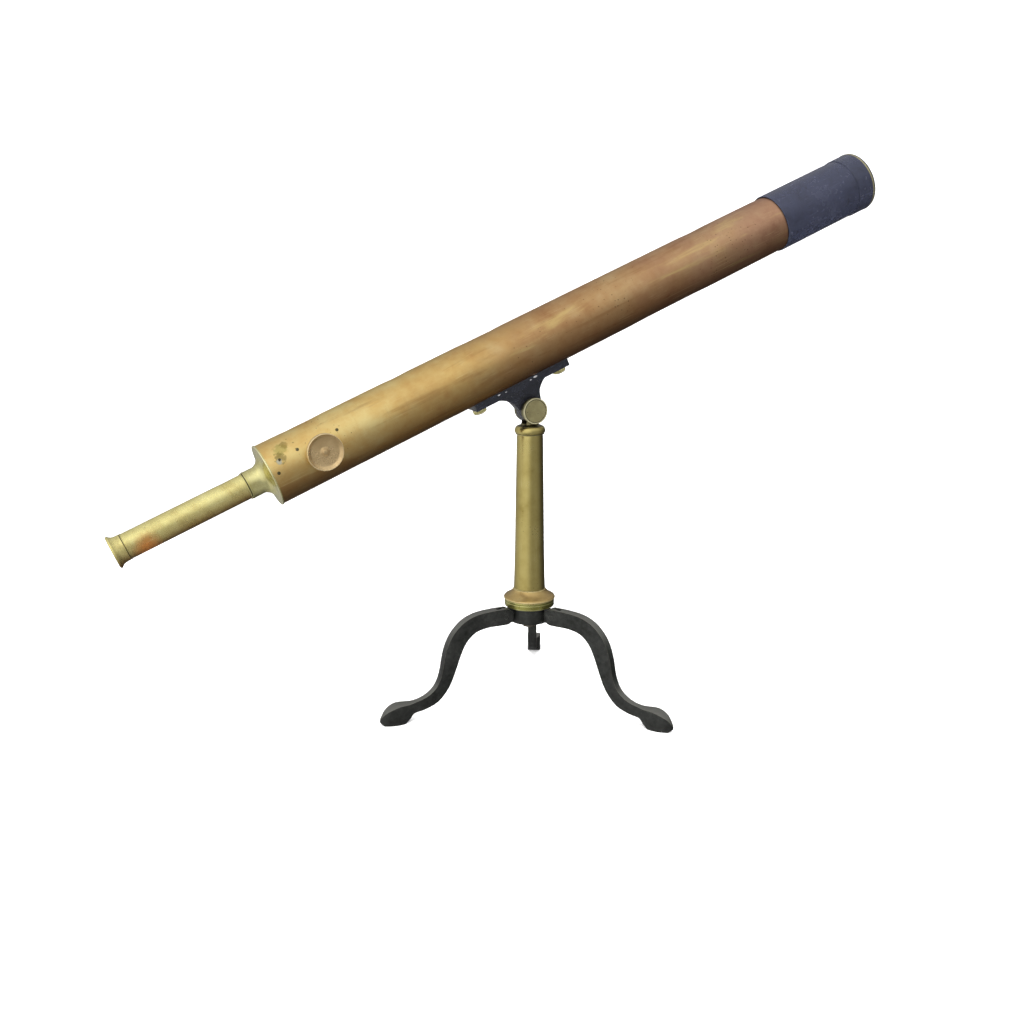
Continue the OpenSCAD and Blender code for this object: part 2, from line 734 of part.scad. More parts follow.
module eyecup() color([0.72, 0.68, 0.38]) on_tube() {
    e = -draw_end;
    l = eyecup_l;
    side = curve([[draw_r + 0.5, e], [draw_r + 0.4, e - 0.2 * l], [draw_r + 0.6, e - 0.4 * l],
        [draw_r + 1.4, e - 0.6 * l], [eyecup_r - 1.4, e - 0.78 * l], [eyecup_r - 0.2, e - 0.87 * l],
        [eyecup_r, e - 0.93 * l], [eyecup_r - 0.5, e - 0.98 * l], [eyecup_r - 1.4, e - l]], 3);
    turned(concat([[draw_bore - 0.1, e]], side, [[12, e - 0.84 * l], [5, e - 7.4], [4.2, e - 6.6],
        [5, e - 5.8], [draw_bore - 3, e - 5.4], [draw_bore - 3, e - 3], [draw_bore - 1.1, e - 3],
        [draw_bore - 1.1, e - 2], [draw_bore - 0.1, e - 2]]));
}

module eyepiece_tube() color([0.66, 0.60, 0.34]) on_tube() {
    e = -draw_end;
    difference() {
        ring(draw_bore - 0.1 + seat, draw_bore - 1.1, e - 2, e + 62);
        ring(draw_bore + 1, draw_bore - 0.1, e - 3, e + 0.01);
    }
}

module eye_lens() color([0.75, 0.85, 0.88, 0.5]) on_tube() {
    r = draw_bore - 3.1;
    lens(r, -draw_end - 5.3, 4, bow * r, bow * r);
}

module field_lens() color([0.75, 0.85, 0.88, 0.5]) on_tube() {
    r = draw_bore - 1.2;
    lens(r, -draw_end + 56, 5, bow * r, bow * r);
}

module field_stop() color([0.20, 0.20, 0.18]) on_tube()
    ring(draw_bore - 1.15, draw_bore - 6, -draw_end + 30, -draw_end + 31.5);

hub();
leg_pins();
foot_band();
foot_flare();
column();
column_plug();
tie_bolt();
tie_washer();
column_collar();
spindle_bush();
leg_back();
leg_left();
leg_right();
pivot_fork();
spindle_washer();
spindle_nut();
pivot_bolt();
clamp_knob();
saddle_bracket();
main_tube();
saddle_pad();
tail_piece();
tail_screws();
pinion_box();
box_screws();
pinion_bush();
draw_guide();
baffle_rear();
baffle_front();
objective_cell();
crown_lens();
flint_lens();
lens_spacer();
cell_ring();
thumbscrew_rear();
thumbscrew_front();
sunshade();
mouth_ring();
drawtube();
focus_rack();
rack_screws();
draw_stop();
erector_tube();
erector_lens_rear();
erector_lens_front();
erector_rings();
pinion_shaft();
focus_knob();
knob_screw();
eyecup();
eyepiece_tube();
eye_lens();
field_lens();
field_stop();
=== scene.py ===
# %% [markdown]
# # A brass library telescope
# The instrument is a long drawn brass tube on a turned pillar with three folding
# legs. Its sizes and its joints come from the CAD frame, which stays fixed. This
# lesson gives each visible piece its turned edges, its dents and its old finish.

# %% Load the frame
import bpy
import bmesh
import json
import math
from mathutils import Matrix, Vector


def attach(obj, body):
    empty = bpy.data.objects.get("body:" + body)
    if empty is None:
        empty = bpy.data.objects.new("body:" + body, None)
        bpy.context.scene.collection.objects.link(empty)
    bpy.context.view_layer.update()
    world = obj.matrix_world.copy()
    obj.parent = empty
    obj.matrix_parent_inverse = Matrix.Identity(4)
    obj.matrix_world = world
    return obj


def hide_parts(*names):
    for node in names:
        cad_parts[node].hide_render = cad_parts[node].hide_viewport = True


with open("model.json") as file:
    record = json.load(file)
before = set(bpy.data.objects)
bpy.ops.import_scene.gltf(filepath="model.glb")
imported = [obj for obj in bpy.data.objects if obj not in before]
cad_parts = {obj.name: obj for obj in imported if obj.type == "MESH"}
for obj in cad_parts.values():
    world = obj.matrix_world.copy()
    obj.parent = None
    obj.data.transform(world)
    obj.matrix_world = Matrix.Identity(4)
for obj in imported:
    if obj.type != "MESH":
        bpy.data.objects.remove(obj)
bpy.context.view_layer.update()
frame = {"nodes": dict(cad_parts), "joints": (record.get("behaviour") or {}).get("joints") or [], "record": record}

node = frame["nodes"]

# %% [markdown]
# ## Camera
# The viewer stands to the left of the focus knob and a little above it. A camera
# could be placed by eye, but a position with a looking direction is exact, and
# to_track_quat turns the direction into a rotation.

# %% Place the camera
eye = bpy.data.objects.new("viewer", bpy.data.cameras.new("viewer"))
bpy.context.scene.collection.objects.link(eye)
eye.location = (-0.6740, -1.3942, 0.6426)
looking_along = Vector((0.40954, 0.88270, -0.23048))
eye.rotation_mode = "QUATERNION"
eye.rotation_quaternion = looking_along.to_track_quat("-Z", "Y")
eye.data.lens = 40.05
eye.data.sensor_width = 36
bpy.context.scene.camera = eye
print("lens", eye.data.lens, "mm")

# %% [markdown]
# ## Three directions of turning
# Nearly every piece was turned on a lathe: along the tube, up the pillar, or out
# of the side towards the viewer. Each direction gets one matrix that stands a
# lathe-shaped piece in its place. The tilt of the tube is read from its joint.

# %% Stand the lathe's axis three ways
MM = 1000  # millimetres in a metre
joint = {j["name"]: j for j in frame["joints"]}
pivot = Vector(joint["tilt_tube"]["pos_m"])
slide = Vector(joint["slide_sunshade"]["axis"]).normalized()
tilt = math.atan2(slide.z, slide.x)
level = Matrix.Rotation(-tilt, 4, "Y")
knob_at = Vector(joint["turn_focus_knob"]["pos_m"])


def tube_offset():
    """Height of the tube's axis over the pivot, from the tube's own mesh."""
    turned_back = level.inverted() @ Matrix.Translation(-pivot)
    heights = [(turned_back @ v.co).z for v in node["main_tube"].data.vertices]
    return (max(heights) + min(heights)) / 2


ALONG = Matrix.Translation(pivot) @ level @ Matrix.Translation((0, 0, tube_offset()))
UP = Matrix.Rotation(-math.pi / 2, 4, "Y")
OUT = Matrix.Rotation(-math.pi / 2, 4, "Z")
KNOB = Matrix.Translation((knob_at.x, 0, knob_at.z)) @ OUT
BOLT = Matrix.Translation(pivot) @ OUT


def span(name, place):
    """Start, end and radius of a node along a lathe axis, in millimetres."""
    back = place.inverted()
    points = [back @ v.co for v in node[name].data.vertices]
    along = [p.x for p in points]
    out = max(math.hypot(p.y, p.z) for p in points)
    return min(along) * MM, max(along) * MM, out * MM


for name in ("main_tube", "sunshade", "drawtube", "eyecup"):
    print(name, "from %.1f to %.1f, radius %.1f" % span(name, ALONG))

# %% [markdown]
# ## The lathe
# A turned piece is an outline spun round an axis. Blender's Screw modifier would
# do it, but building the rings here lets each corner carry a small radius and
# two marks: *rim* on outer corners, where hands and cloths wear the finish away,
# and *nook* on inner corners, where polish and dirt collect and a painted shade darkens the crease.

# %% Round the corners of an outline
ARC_POINTS = 4  # points on each rounded corner
EASE = 1.2      # millimetres beside a corner in which its wear fades out


def corner(a, b, c, radius):
    """Points of a small arc at b, and whether the corner stands out."""
    u, v = (a - b), (c - b)
    reach = min(radius, 0.45 * u.length, 0.45 * v.length)
    start, end = b + u.normalized() * reach, b + v.normalized() * reach
    arc = []
    for k in range(ARC_POINTS):
        t = k / (ARC_POINTS - 1)
        arc.append(start * (1 - t) ** 2 + b * (2 * t * (1 - t)) + end * t * t)
    return arc, (c - b).cross(b - a)


def outline_rings(outline):
    """Closed outline of (radius, distance[, corner radius]) to rings marked for wear and crease shade.

    A corner radius below zero is rounded just the same, but keeps its finish."""
    flat = [Vector((p[1], p[0])) for p in outline]
    around = sum(flat[i].x * flat[i - 1].y - flat[i - 1].x * flat[i].y for i in range(len(flat)))
    rings = []
    for i, point in enumerate(outline):
        b, a, c = flat[i], flat[i - 1], flat[(i + 1) % len(flat)]
        if len(point) == 3 and point[2] != 0:
            arc, side = corner(a, b, c, abs(point[2]))
            mark = 0 if point[2] < 0 else 1 if side * around > 0 else -1
            if (a - b).length > 3 * EASE:
                rings.append((b + (a - b).normalized() * EASE * 1.5, 0))
            rings += [(p, mark) for p in arc]
            if (c - b).length > 3 * EASE:
                rings.append((b + (c - b).normalized() * EASE * 1.5, 0))
        else:
            rings.append((b, 0))
    return rings


# %% Spin the outline
CRISP = 32  # degrees between two faces at which an edge stays sharp


def finish_mesh(mesh, sharp=CRISP):
    """Smooth faces with crisp edges where the surface really turns."""
    mesh.shade_smooth()
    mesh.set_sharp_from_angle(angle=math.radians(sharp))
    mesh.update()


def add_object(name, mesh):
    made = bpy.data.objects.new(name, mesh)
    bpy.context.scene.collection.objects.link(made)
    return made


def lathe(name, outline, place, around=96):
    """Spin an outline in millimetres about the local X axis and stand it in place."""
    bm = bmesh.new()
    rim = bm.verts.layers.float.new("rim")
    nook = bm.verts.layers.float.new("nook")
    rows = []
    for p, mark in outline_rings(outline):
        spots = 1 if abs(p.y) < 1e-6 else around
        row = []
        for k in range(spots):
            a = 2 * math.pi * k / around
            spot = Vector((p.x, p.y * math.cos(a), p.y * math.sin(a))) / MM
            vert = bm.verts.new(place @ spot)
            vert[rim] = max(mark, 0)
            vert[nook] = max(-mark, 0)
            row.append(vert)
        rows.append(row)
    for i in range(len(rows)):
        a, b = rows[i - 1], rows[i]
        for k in range(around):
            ring = [a[k % len(a)], a[(k + 1) % len(a)], b[(k + 1) % len(b)], b[k % len(b)]]
            face = [v for j, v in enumerate(ring) if v not in ring[:j]]
            if len(face) > 2:
                bm.faces.new(face)
    bmesh.ops.recalc_face_normals(bm, faces=bm.faces)
    mesh = bpy.data.meshes.new(name)
    bm.to_mesh(mesh)
    bm.free()
    finish_mesh(mesh)
    made = add_object(name, mesh)
    print(name, "turned:", len(mesh.vertices), "points")
    return made


def sweep(points, steps=4):
    """Smooth curve through (radius, distance) points, as a plain list."""
    out = []
    for i in range(len(points) - 1):
        a, b = points[max(i - 1, 0)], points[i]
        c, d = points[i + 1], points[min(i + 2, len(points) - 1)]
        for k in range(steps):
            t = k / steps
            out.append(tuple(0.5 * (2 * q + (r - p) * t + (2 * p - 5 * q + 4 * r - s) * t * t
                        + (3 * q - p - 3 * r + s) * t ** 3) for p, q, r, s in zip(a, b, c, d)))
    return out + [tuple(points[-1])]


# %% [markdown]
# ## Castings and filed pieces
# The legs, the hub, the fork and the bracket were cast and filed, so they can't
# be spun. Their CAD shapes are right but have knife edges. A copy with its loose
# triangles merged takes a Bevel modifier, as a file takes off a sharp corner,
# and the middle line of each new bevel is marked as *rim* for the worn finish.

# %% Break the edges of a casting
FILED_ANGLE = 35  # degrees from which an edge is filed
FLAT_ANGLE = 0.6  # degrees below which two triangles are one face


def casting(name, cad, width, steps=2):
    """Copy of a CAD node with filed edges; width in millimetres."""
    mesh = node[cad].data.copy()
    mesh.name = name
    mesh.materials.clear()
    for old in list(mesh.attributes):
        if old.name.startswith("sharp") or old.name == "custom_normal":
            mesh.attributes.remove(old)
    bm = bmesh.new()
    bm.from_mesh(mesh)
    bmesh.ops.remove_doubles(bm, verts=bm.verts, dist=2e-6)
    bmesh.ops.dissolve_limit(bm, angle_limit=math.radians(FLAT_ANGLE), verts=bm.verts,
        edges=bm.edges)
    for edge in bm.edges:
        edge.smooth = True
    bm.to_mesh(mesh)
    bm.free()
    made = add_object(name, mesh)
    for old in mesh.polygons:
        old.use_smooth = True
    filed = made.modifiers.new("filed", "BEVEL")
    filed.width = width / MM
    filed.segments = steps
    filed.limit_method = "ANGLE"
    filed.angle_limit = math.radians(FILED_ANGLE)
    filed.use_clamp_overlap = True
    filed.material = 1
    mesh.materials.append(None)
    mesh.materials.append(None)
    bpy.context.view_layer.update()
    graph = bpy.context.evaluated_depsgraph_get()
    done = bpy.data.meshes.new_from_object(made.evaluated_get(graph))
    made.modifiers.remove(filed)
    made.data = done
    mark_edges(done)
    finish_mesh(done, 40)
    print(name, "filed:", len(done.polygons), "faces")
    return made


def mark_edges(mesh):
    """Mark points that touch only bevel faces as rim, so the finish can wear there."""
    flat = {i for face in mesh.polygons if face.material_index == 0 for i in face.vertices}
    rim = mesh.attributes.new("rim", "FLOAT", "POINT")
    for point in mesh.vertices:
        rim.data[point.index].value = 0.0 if point.index in flat else 1.0
    for face in mesh.polygons:
        face.material_index = 0
    mesh.materials.clear()


# %% [markdown]
# ## Wiring helper
# Shader trees and geometry trees are wired the same way, so one small helper
# adds a node, sets its choices and joins or sets its inputs.

# %% Add and wire nodes
def wire(tree, socket, value):
    """Join a socket to another one, or set its number, colour or vector."""
    if isinstance(value, bpy.types.NodeSocket):
        tree.links.new(value, socket)
    else:
        socket.default_value = value


def add(tree, kind, inputs=None, **choices):
    made = tree.nodes.new(kind)
    for key, value in choices.items():
        setattr(made, key, value)
    for key, value in (inputs or {}).items():
        wire(tree, made.inputs[key], value)
    return made


def maths(tree, operation, a, b=0.0, c=0.0):
    """One Math node; shader and geometry trees use the same kind."""
    return add(tree, "ShaderNodeMath", {0: a, 1: b, 2: c}, operation=operation).outputs[0]


def times(tree, a, b):
    return maths(tree, "MULTIPLY", a, b)


def plus(tree, a, b):
    return maths(tree, "ADD", a, b)


def minus(tree, a, b):
    return maths(tree, "SUBTRACT", a, b)


def times_plus(tree, a, b, c):
    return maths(tree, "MULTIPLY_ADD", a, b, c)


def noise(tree, place, scale, **more):
    """Noise from 0 to 1 over a place; more sets its detail, roughness or distortion."""
    return add(tree, "ShaderNodeTexNoise", {"Vector": place, "Scale": scale,
            **more}).outputs["Fac"]


def apart(tree, a, b):
    """Distance between two places."""
    return add(tree, "ShaderNodeVectorMath", {0: a, 1: b}, operation="DISTANCE").outputs["Value"]


def split(tree, place):
    return add(tree, "ShaderNodeSeparateXYZ", {0: place}).outputs


def xyz(tree, x=0.0, y=0.0, z=0.0):
    return add(tree, "ShaderNodeCombineXYZ", {0: x, 1: y, 2: z}).outputs[0]


def own_place(tree):
    """Place of each point of the mesh that a geometry tree works on."""
    return add(tree, "GeometryNodeInputPosition").outputs[0]


def new_group(name, kind, wants, gives):
    """Node group with named inputs and outputs."""
    tree = bpy.data.node_groups.new(name, kind)
    for label, socket, value in wants:
        made = tree.interface.new_socket(label, in_out="INPUT", socket_type=socket)
        if value is not None:
            made.default_value = value
    for label, socket in gives:
        tree.interface.new_socket(label, in_out="OUTPUT", socket_type=socket)
    return tree, tree.nodes.new("NodeGroupInput").outputs, tree.nodes.new("NodeGroupOutput")


NUMBER, COLOUR, VECTOR = "NodeSocketFloat", "NodeSocketColor", "NodeSocketVector"


def blend_colour(tree, amount, a, b):
    """Colour a turned into colour b by an amount from 0 to 1."""
    return add(tree, "ShaderNodeMix", {0: amount, 6: a, 7: b}, data_type="RGBA",
        clamp_factor=True).outputs[2]


def ramp(tree, value, low, high, to_low=0.0, to_high=1.0):
    """Value moved smoothly from one range to another."""
    return add(tree, "ShaderNodeMapRange", {0: value, 1: low, 2: high, 3: to_low, 4: to_high},
        interpolation_type="SMOOTHSTEP").outputs[0]


# %% [markdown]
# ## Shared effect: mottled old metal
# A century of handling leaves cloudy patches several centimetres wide, smaller
# blotches inside them, and fine grain. One noise at each of three scales, mixed
# between a pale, a middle and a deep colour, gives that cloudiness.

# %% Group: mottle
mottle, g, out = new_group("mottle", "ShaderNodeTree", [("Vector", VECTOR, None),
        ("Patch Scale", NUMBER, 9.0), ("Blotch Scale", NUMBER, 60.0), ("Bias", NUMBER, 0.5),
        ("Pale", COLOUR, (0.6, 0.45, 0.2, 1)), ("Middle", COLOUR, (0.45, 0.3, 0.12, 1)),
        ("Deep", COLOUR, (0.2, 0.12, 0.05, 1))], [("Color", COLOUR), ("Cloud", NUMBER)])
patch = noise(mottle, g["Vector"], g["Patch Scale"], Detail=5.0, Roughness=0.6, Distortion=0.6)
blotch = noise(mottle, g["Vector"], g["Blotch Scale"], Detail=4.0, Roughness=0.62)
cloud = times_plus(mottle, blotch, 0.4, times(mottle, patch, 0.6))
cloud = plus(mottle, cloud, minus(mottle, g["Bias"], 0.5))
first = blend_colour(mottle, ramp(mottle, cloud, 0.30, 0.54), g["Deep"], g["Middle"])
second = blend_colour(mottle, ramp(mottle, cloud, 0.48, 0.76), first, g["Pale"])
mottle.links.new(second, out.inputs["Color"])
mottle.links.new(cloud, out.inputs["Cloud"])
print("group", mottle.name, "has", len(mottle.nodes), "nodes")

# %% [markdown]
# ## Shared effect: rubbing marks
# Cleaning cloths and cases leave hair-thin lines. A noise squeezed in one
# direction and cut off near its peak keeps only thin streaks.

# %% Group: scratches
scratches, g, out = new_group("scratches", "ShaderNodeTree",
    [("Vector", VECTOR, None), ("Along", NUMBER, 30.0), ("Across", NUMBER, 1500.0),
        ("Amount", NUMBER, 0.3)], [("Mask", NUMBER), ("Height", NUMBER)])
stretch = xyz(scratches, g["Along"], g["Across"], g["Across"])
pulled = add(scratches, "ShaderNodeVectorMath", {0: g["Vector"], 1: stretch}, operation="MULTIPLY")
hair = noise(scratches, pulled.outputs[0], 1.0, Detail=2.0, Roughness=0.5)
gone = noise(scratches, g["Vector"], 25.0, Detail=2.0)
line = ramp(scratches, hair, 0.60, 0.72)
kept = times(scratches, line, ramp(scratches, gone, 0.45, 0.62))
kept = times(scratches, kept, g["Amount"])
scratches.links.new(kept, out.inputs["Mask"])
scratches.links.new(times(scratches, kept, -1.0), out.inputs["Height"])
print("group", scratches.name, "has", len(scratches.nodes), "nodes")

# %% [markdown]
# ## Shared effect: spots and pits
# Damp air leaves dark pin-prick spots. A Voronoi cell pattern has one centre in
# each cell, so a small distance from it is a round spot, and a slow noise lets
# the spots gather in some places and stay away from others.

# %% Group: spots
spots, g, out = new_group("spots", "ShaderNodeTree", [("Vector", VECTOR, None),
        ("Scale", NUMBER, 220.0), ("Size", NUMBER, 0.22), ("Gather", NUMBER, 14.0),
        ("Amount", NUMBER, 1.0)], [("Mask", NUMBER), ("Height", NUMBER)])
cells = add(spots, "ShaderNodeTexVoronoi", {"Vector": g["Vector"], "Scale": g["Scale"]})
drift = noise(spots, g["Vector"], g["Gather"], Detail=3.0)
tone = add(spots, "ShaderNodeSeparateColor", {0: cells.outputs["Color"]})
size = times(spots, times(spots, g["Size"], tone.outputs[0]), ramp(spots, drift, 0.44, 0.66))
dot = minus(spots, size, cells.outputs["Distance"])
dot = times(spots, ramp(spots, dot, 0.0, 0.05), g["Amount"])
spots.links.new(dot, out.inputs["Mask"])
spots.links.new(times(spots, dot, -1.0), out.inputs["Height"])
print("group", spots.name, "has", len(spots.nodes), "nodes")

# %% [markdown]
# ## Shared effect: worn rims, and dirty corners with painted shade
# The lathe and the bevel left *rim* and *nook* on each mesh. This group reads
# both and breaks them up with noise, so the wear starts and stops as real wear does.

# %% Group: edge wear and crease shade
edge_wear_and_crease_shade, g, out = new_group("edge wear and crease shade", "ShaderNodeTree",
    [("Vector", VECTOR, None), ("Scale", NUMBER, 120.0)], [("Rim", NUMBER), ("Nook", NUMBER)])
ragged = noise(edge_wear_and_crease_shade, g["Vector"], g["Scale"], Detail=5.0, Roughness=0.65)
for label in ("Rim", "Nook"):
    mark = add(edge_wear_and_crease_shade, "ShaderNodeAttribute", attribute_name=label.lower())
    lifted = plus(edge_wear_and_crease_shade, mark.outputs["Fac"], times_plus(edge_wear_and_crease_shade, ragged, 1.6, -0.8))
    full = times(edge_wear_and_crease_shade, ramp(edge_wear_and_crease_shade, lifted, 0.35, 0.95),
        ramp(edge_wear_and_crease_shade, mark.outputs["Fac"], 0.02, 0.4))
    edge_wear_and_crease_shade.links.new(full, out.inputs[label])
print("group", edge_wear_and_crease_shade.name, "has", len(edge_wear_and_crease_shade.nodes), "nodes")

# %% [markdown]
# ## Shared effect: painted shade on the underside
# A tube lit from above is darker below, and this group paints that shade into
# the colour. In the tube's own space that is simply low against its radius.

# %% Group: painted underside shade
underside_shade, g, out = new_group("underside_shade", "ShaderNodeTree",
    [("Vector", VECTOR, None), ("Radius", NUMBER, 0.04), ("From", NUMBER, 0.1),
        ("To", NUMBER, -0.9)], [("Mask", NUMBER)])
where = split(underside_shade, g["Vector"])
low = maths(underside_shade, "DIVIDE", where[2], g["Radius"])
uneven = noise(underside_shade, g["Vector"], 22.0, Detail=4.0)
low = times_plus(underside_shade, uneven, 0.3, minus(underside_shade, low, 0.15))
falling = add(underside_shade, "ShaderNodeMapRange", {0: low, 1: g["From"], 2: g["To"]})
underside_shade.links.new(falling.outputs[0], out.inputs["Mask"])
print("group", underside_shade.name, "has", len(underside_shade.nodes), "nodes")

# %% [markdown]
# ## A finish and its coordinates
# Every finish reads Object coordinates. Pieces of the tube turn them back by the
# tilt first, with a Mapping node, so that a pattern can run along the tube.

# %% Start a material
def srgb(r, g, b):
    """Colour given on a 0-255 scale to the linear value a shader needs."""
    one = lambda c: c / 3294.6 if c <= 10.31 else ((c / 255 + 0.055) / 1.055) ** 2.4
    return (one(r), one(g), one(b), 1.0)


def start(name, along_tube):
    material = bpy.data.materials.new(name)
    material.use_nodes = True
    tree = material.node_tree
    place = add(tree, "ShaderNodeTexCoord").outputs["Object"]
    if along_tube:
        centre = ALONG.translation
        shifted = add(tree, "ShaderNodeMapping", {0: place, 1: -centre})
        place = add(tree, "ShaderNodeMapping", {0: shifted.outputs[0], 2: (0, tilt, 0)}).outputs[0]
    return material, tree, tree.nodes["Principled BSDF"], place


def use(tree, group, **inputs):
    made = add(tree, "ShaderNodeGroup", node_tree=group)
    for key, value in inputs.items():
        wire(tree, made.inputs[key.replace("_", " ")], value)
    return made.outputs


def bump(tree, shader, height, depth):
    """Bump height in metres at full value."""
    made = add(tree, "ShaderNodeBump", {"Height": height, "Distance": depth})
    tree.links.new(made.outputs[0], shader.inputs["Normal"])


# %% [markdown]
# ## Old brass in every shade
# The pillar, the eyecup, the knobs and the fork are the same metal in different
# hands: some polished, some brown. One recipe, given four colours, a roughness
# and a grain, makes each of them. A blush is one stain with a place and a reach.
# Metallic a little below 1 lets a small face show its tint where the room that it
# mirrors is dark.

# %% Recipe: aged brass
def aged_brass(name, pale, middle, deep, bright, rough=0.3, patch=14.0, blotch=90.0, bias=0.5,
    along_tube=False, grain=(20.0, 900.0), spot=0.3, radius=None, shade=None, blush=None,
    metal=1.0):
    material, tree, shader, place = start(name, along_tube)
    old = use(tree, mottle, Vector=place, Patch_Scale=patch, Blotch_Scale=blotch, Bias=bias,
        Pale=srgb(*pale), Middle=srgb(*middle), Deep=srgb(*deep))
    lines = use(tree, scratches, Vector=place, Along=grain[0], Across=grain[1], Amount=0.7)
    pits = use(tree, spots, Vector=place, Scale=260.0, Size=0.34, Amount=spot)
    edge = use(tree, edge_wear_and_crease_shade, Vector=place)
    colour = old["Color"]
    # A radius paints a shade on the tube's underside, in the colour given as shade.
    if radius:
        under = use(tree, underside_shade, Vector=place, Radius=radius, From=0.25, To=-0.85)
        colour = blend_colour(tree, under["Mask"], colour, srgb(*shade))
    if blush:
        centre, reach, tint = blush
        off = apart(tree, place, centre)
        off = times_plus(tree, old["Cloud"], reach, minus(tree, off, reach * 0.5))
        colour = blend_colour(tree, ramp(tree, off, reach, reach * 0.1, 0.0, 0.85), colour,
            srgb(*tint))
    colour = blend_colour(tree, times(tree, lines["Mask"], 0.35), colour, srgb(*bright))
    colour = blend_colour(tree, times(tree, edge["Rim"], 0.75), colour, srgb(*bright))
    # Inner corners go near black: dirt, with a painted shade in the crease.
    colour = blend_colour(tree, times(tree, edge["Nook"], 0.8), colour, (0.02, 0.014, 0.006, 1))
    colour = blend_colour(tree, pits["Mask"], colour, (0.03, 0.02, 0.008, 1))
    tree.links.new(colour, shader.inputs["Base Color"])
    shader.inputs["Metallic"].default_value = metal
    dull = times_plus(tree, old["Cloud"], -0.22, rough + 0.11)
    dull = times_plus(tree, pits["Mask"], 0.25, dull)
    dull = times_plus(tree, edge["Nook"], 0.3, dull)
    tree.links.new(dull, shader.inputs["Roughness"])
    height = plus(tree, times(tree, lines["Height"], 0.2), pits["Height"])
    bump(tree, shader, height, 0.00012)
    return material

# %% [markdown]
# ## Growing a mesh from a Geometry Nodes tree
# A modifier's inputs are set by the identifiers of its sockets before it first
# runs. The evaluated result becomes a plain mesh and the modifier goes.

# %% Run a tree once
def grow(name, tree, values, place=None, base=None):
    made = add_object(name, base or bpy.data.meshes.new(name))
    shape = made.modifiers.new("grow", "NODES")
    shape.node_group = tree
    for item in tree.interface.items_tree:
        if item.item_type == "SOCKET" and item.in_out == "INPUT" and item.name in values:
            shape[item.identifier] = values[item.name]
    bpy.context.view_layer.update()
    graph = bpy.context.evaluated_depsgraph_get()
    mesh = bpy.data.meshes.new_from_object(made.evaluated_get(graph))
    made.modifiers.remove(shape)
    made.data = mesh
    mesh.materials.clear()
    mesh.materials.append(values["Material"])
    for face in mesh.polygons:
        face.material_index = 0
    if place is not None:
        mesh.transform(place)
    finish_mesh(mesh)
    print(name, "grown:", len(mesh.polygons), "faces")
    return made


def settle(made, body, slot, *nodes):
    """Ride on a body and stand for CAD nodes, hiding them; slot is not used."""
    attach(made, body)
    if nodes:
        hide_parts(*nodes)
    return made


def paint(made, material):
    made.data.materials.clear()
    made.data.materials.append(material)
    return made


# %% [markdown]
# ## Drawn tubes by rule
# Both long tubes are drawn brass: a radius, a wall and two ends, with the small
# dents of long use. A flat grid is bent round the axis, and a noise pushes a few
# places in. Ends stay round, because they fit into other pieces.

# %% Tree: drawn tube
GEOMETRY, INTEGER, FINISH = "NodeSocketGeometry", "NodeSocketInt", "NodeSocketMaterial"
drawn, g, out = new_group("drawn tube", "GeometryNodeTree",
    [("Radius", NUMBER, 0.04), ("Wall", NUMBER, 0.0015), ("Start", NUMBER, 0.0),
        ("End", NUMBER, 1.0), ("Dent Depth", NUMBER, 0.0004), ("Dent Size", NUMBER, 0.06),
        ("Seed", NUMBER, 1.0), ("Rings", INTEGER, 120), ("Material", FINISH, None)],
    [("Geometry", GEOMETRY)])


def end_tree(tree, g, out, shape):
    """Realize instances, set the finish, and tell how big the tree is."""
    real = add(tree, "GeometryNodeRealizeInstances", {0: shape.outputs[0]})
    coat = add(tree, "GeometryNodeSetMaterial", {"Geometry": real.outputs[0],
            "Material": g["Material"]})
    tree.links.new(coat.outputs[0], out.inputs[0])
    print("tree", tree.name, "has", len(tree.nodes), "nodes")


def bent_grid(tree, g, rows, radius_a, radius_b, from_s, to_s, dented):
    """Grid bent round the X axis, between two radii and two distances."""
    grid = add(tree, "GeometryNodeMeshGrid", {"Size X": 1.0, "Size Y": 1.0, "Vertices X": rows,
            "Vertices Y": 129})
    flat = split(tree, own_place(tree))
    t = plus(tree, flat[0], 0.5)
    angle = times(tree, flat[1], 2 * math.pi)
    cosine, sine = maths(tree, "COSINE", angle), maths(tree, "SINE", angle)
    s = plus(tree, from_s, times(tree, t, minus(tree, to_s, from_s)))
    r = plus(tree, radius_a, times(tree, t, minus(tree, radius_b, radius_a)))
    if dented:
        ring = xyz(tree, plus(tree, s, g["Seed"]), times(tree, cosine, g["Radius"]),
            times(tree, sine, g["Radius"]))
        wave = noise(tree, ring, maths(tree, "DIVIDE", 1.0, g["Dent Size"]), Detail=1.0)
        near = maths(tree, "MINIMUM", minus(tree, s, from_s), minus(tree, to_s, s))
        dent = times(tree, ramp(tree, wave, 0.54, 0.74), g["Dent Depth"])
        dent = times(tree, dent, ramp(tree, near, 0.004, 0.03))
        r = minus(tree, r, dent)
    spot = xyz(tree, s, times(tree, cosine, r), times(tree, sine, r))
    bent = add(tree, "GeometryNodeSetPosition", {"Geometry": grid.outputs["Mesh"],
            "Position": spot})
    return bent.outputs[0]


inside = minus(drawn, g["Radius"], g["Wall"])
walls = [bent_grid(drawn, g, g["Rings"], g["Radius"], g["Radius"], g["Start"], g["End"], True),
    bent_grid(drawn, g, 2, inside, inside, g["End"], g["Start"], False),
    bent_grid(drawn, g, 2, inside, g["Radius"], g["Start"], g["Start"], False),
    bent_grid(drawn, g, 2, g["Radius"], inside, g["End"], g["End"], False)]
joined = add(drawn, "GeometryNodeJoinGeometry")
for wall in walls:
    drawn.links.new(wall, joined.inputs[0])
welded = add(drawn, "GeometryNodeMergeByDistance", {"Geometry": joined.outputs[0],
        "Distance": 1e-6})
end_tree(drawn, g, out, welded)

# %% [markdown]
# ## Knurled and milled edges by rule
# A thumbscrew's head is ribbed so that fingers can grip it. The lathe makes the
# plain head, and this tree pushes its outer ring in between the ribs, with a
# cosine of the angle. Inputs give the number of ribs and where they are.

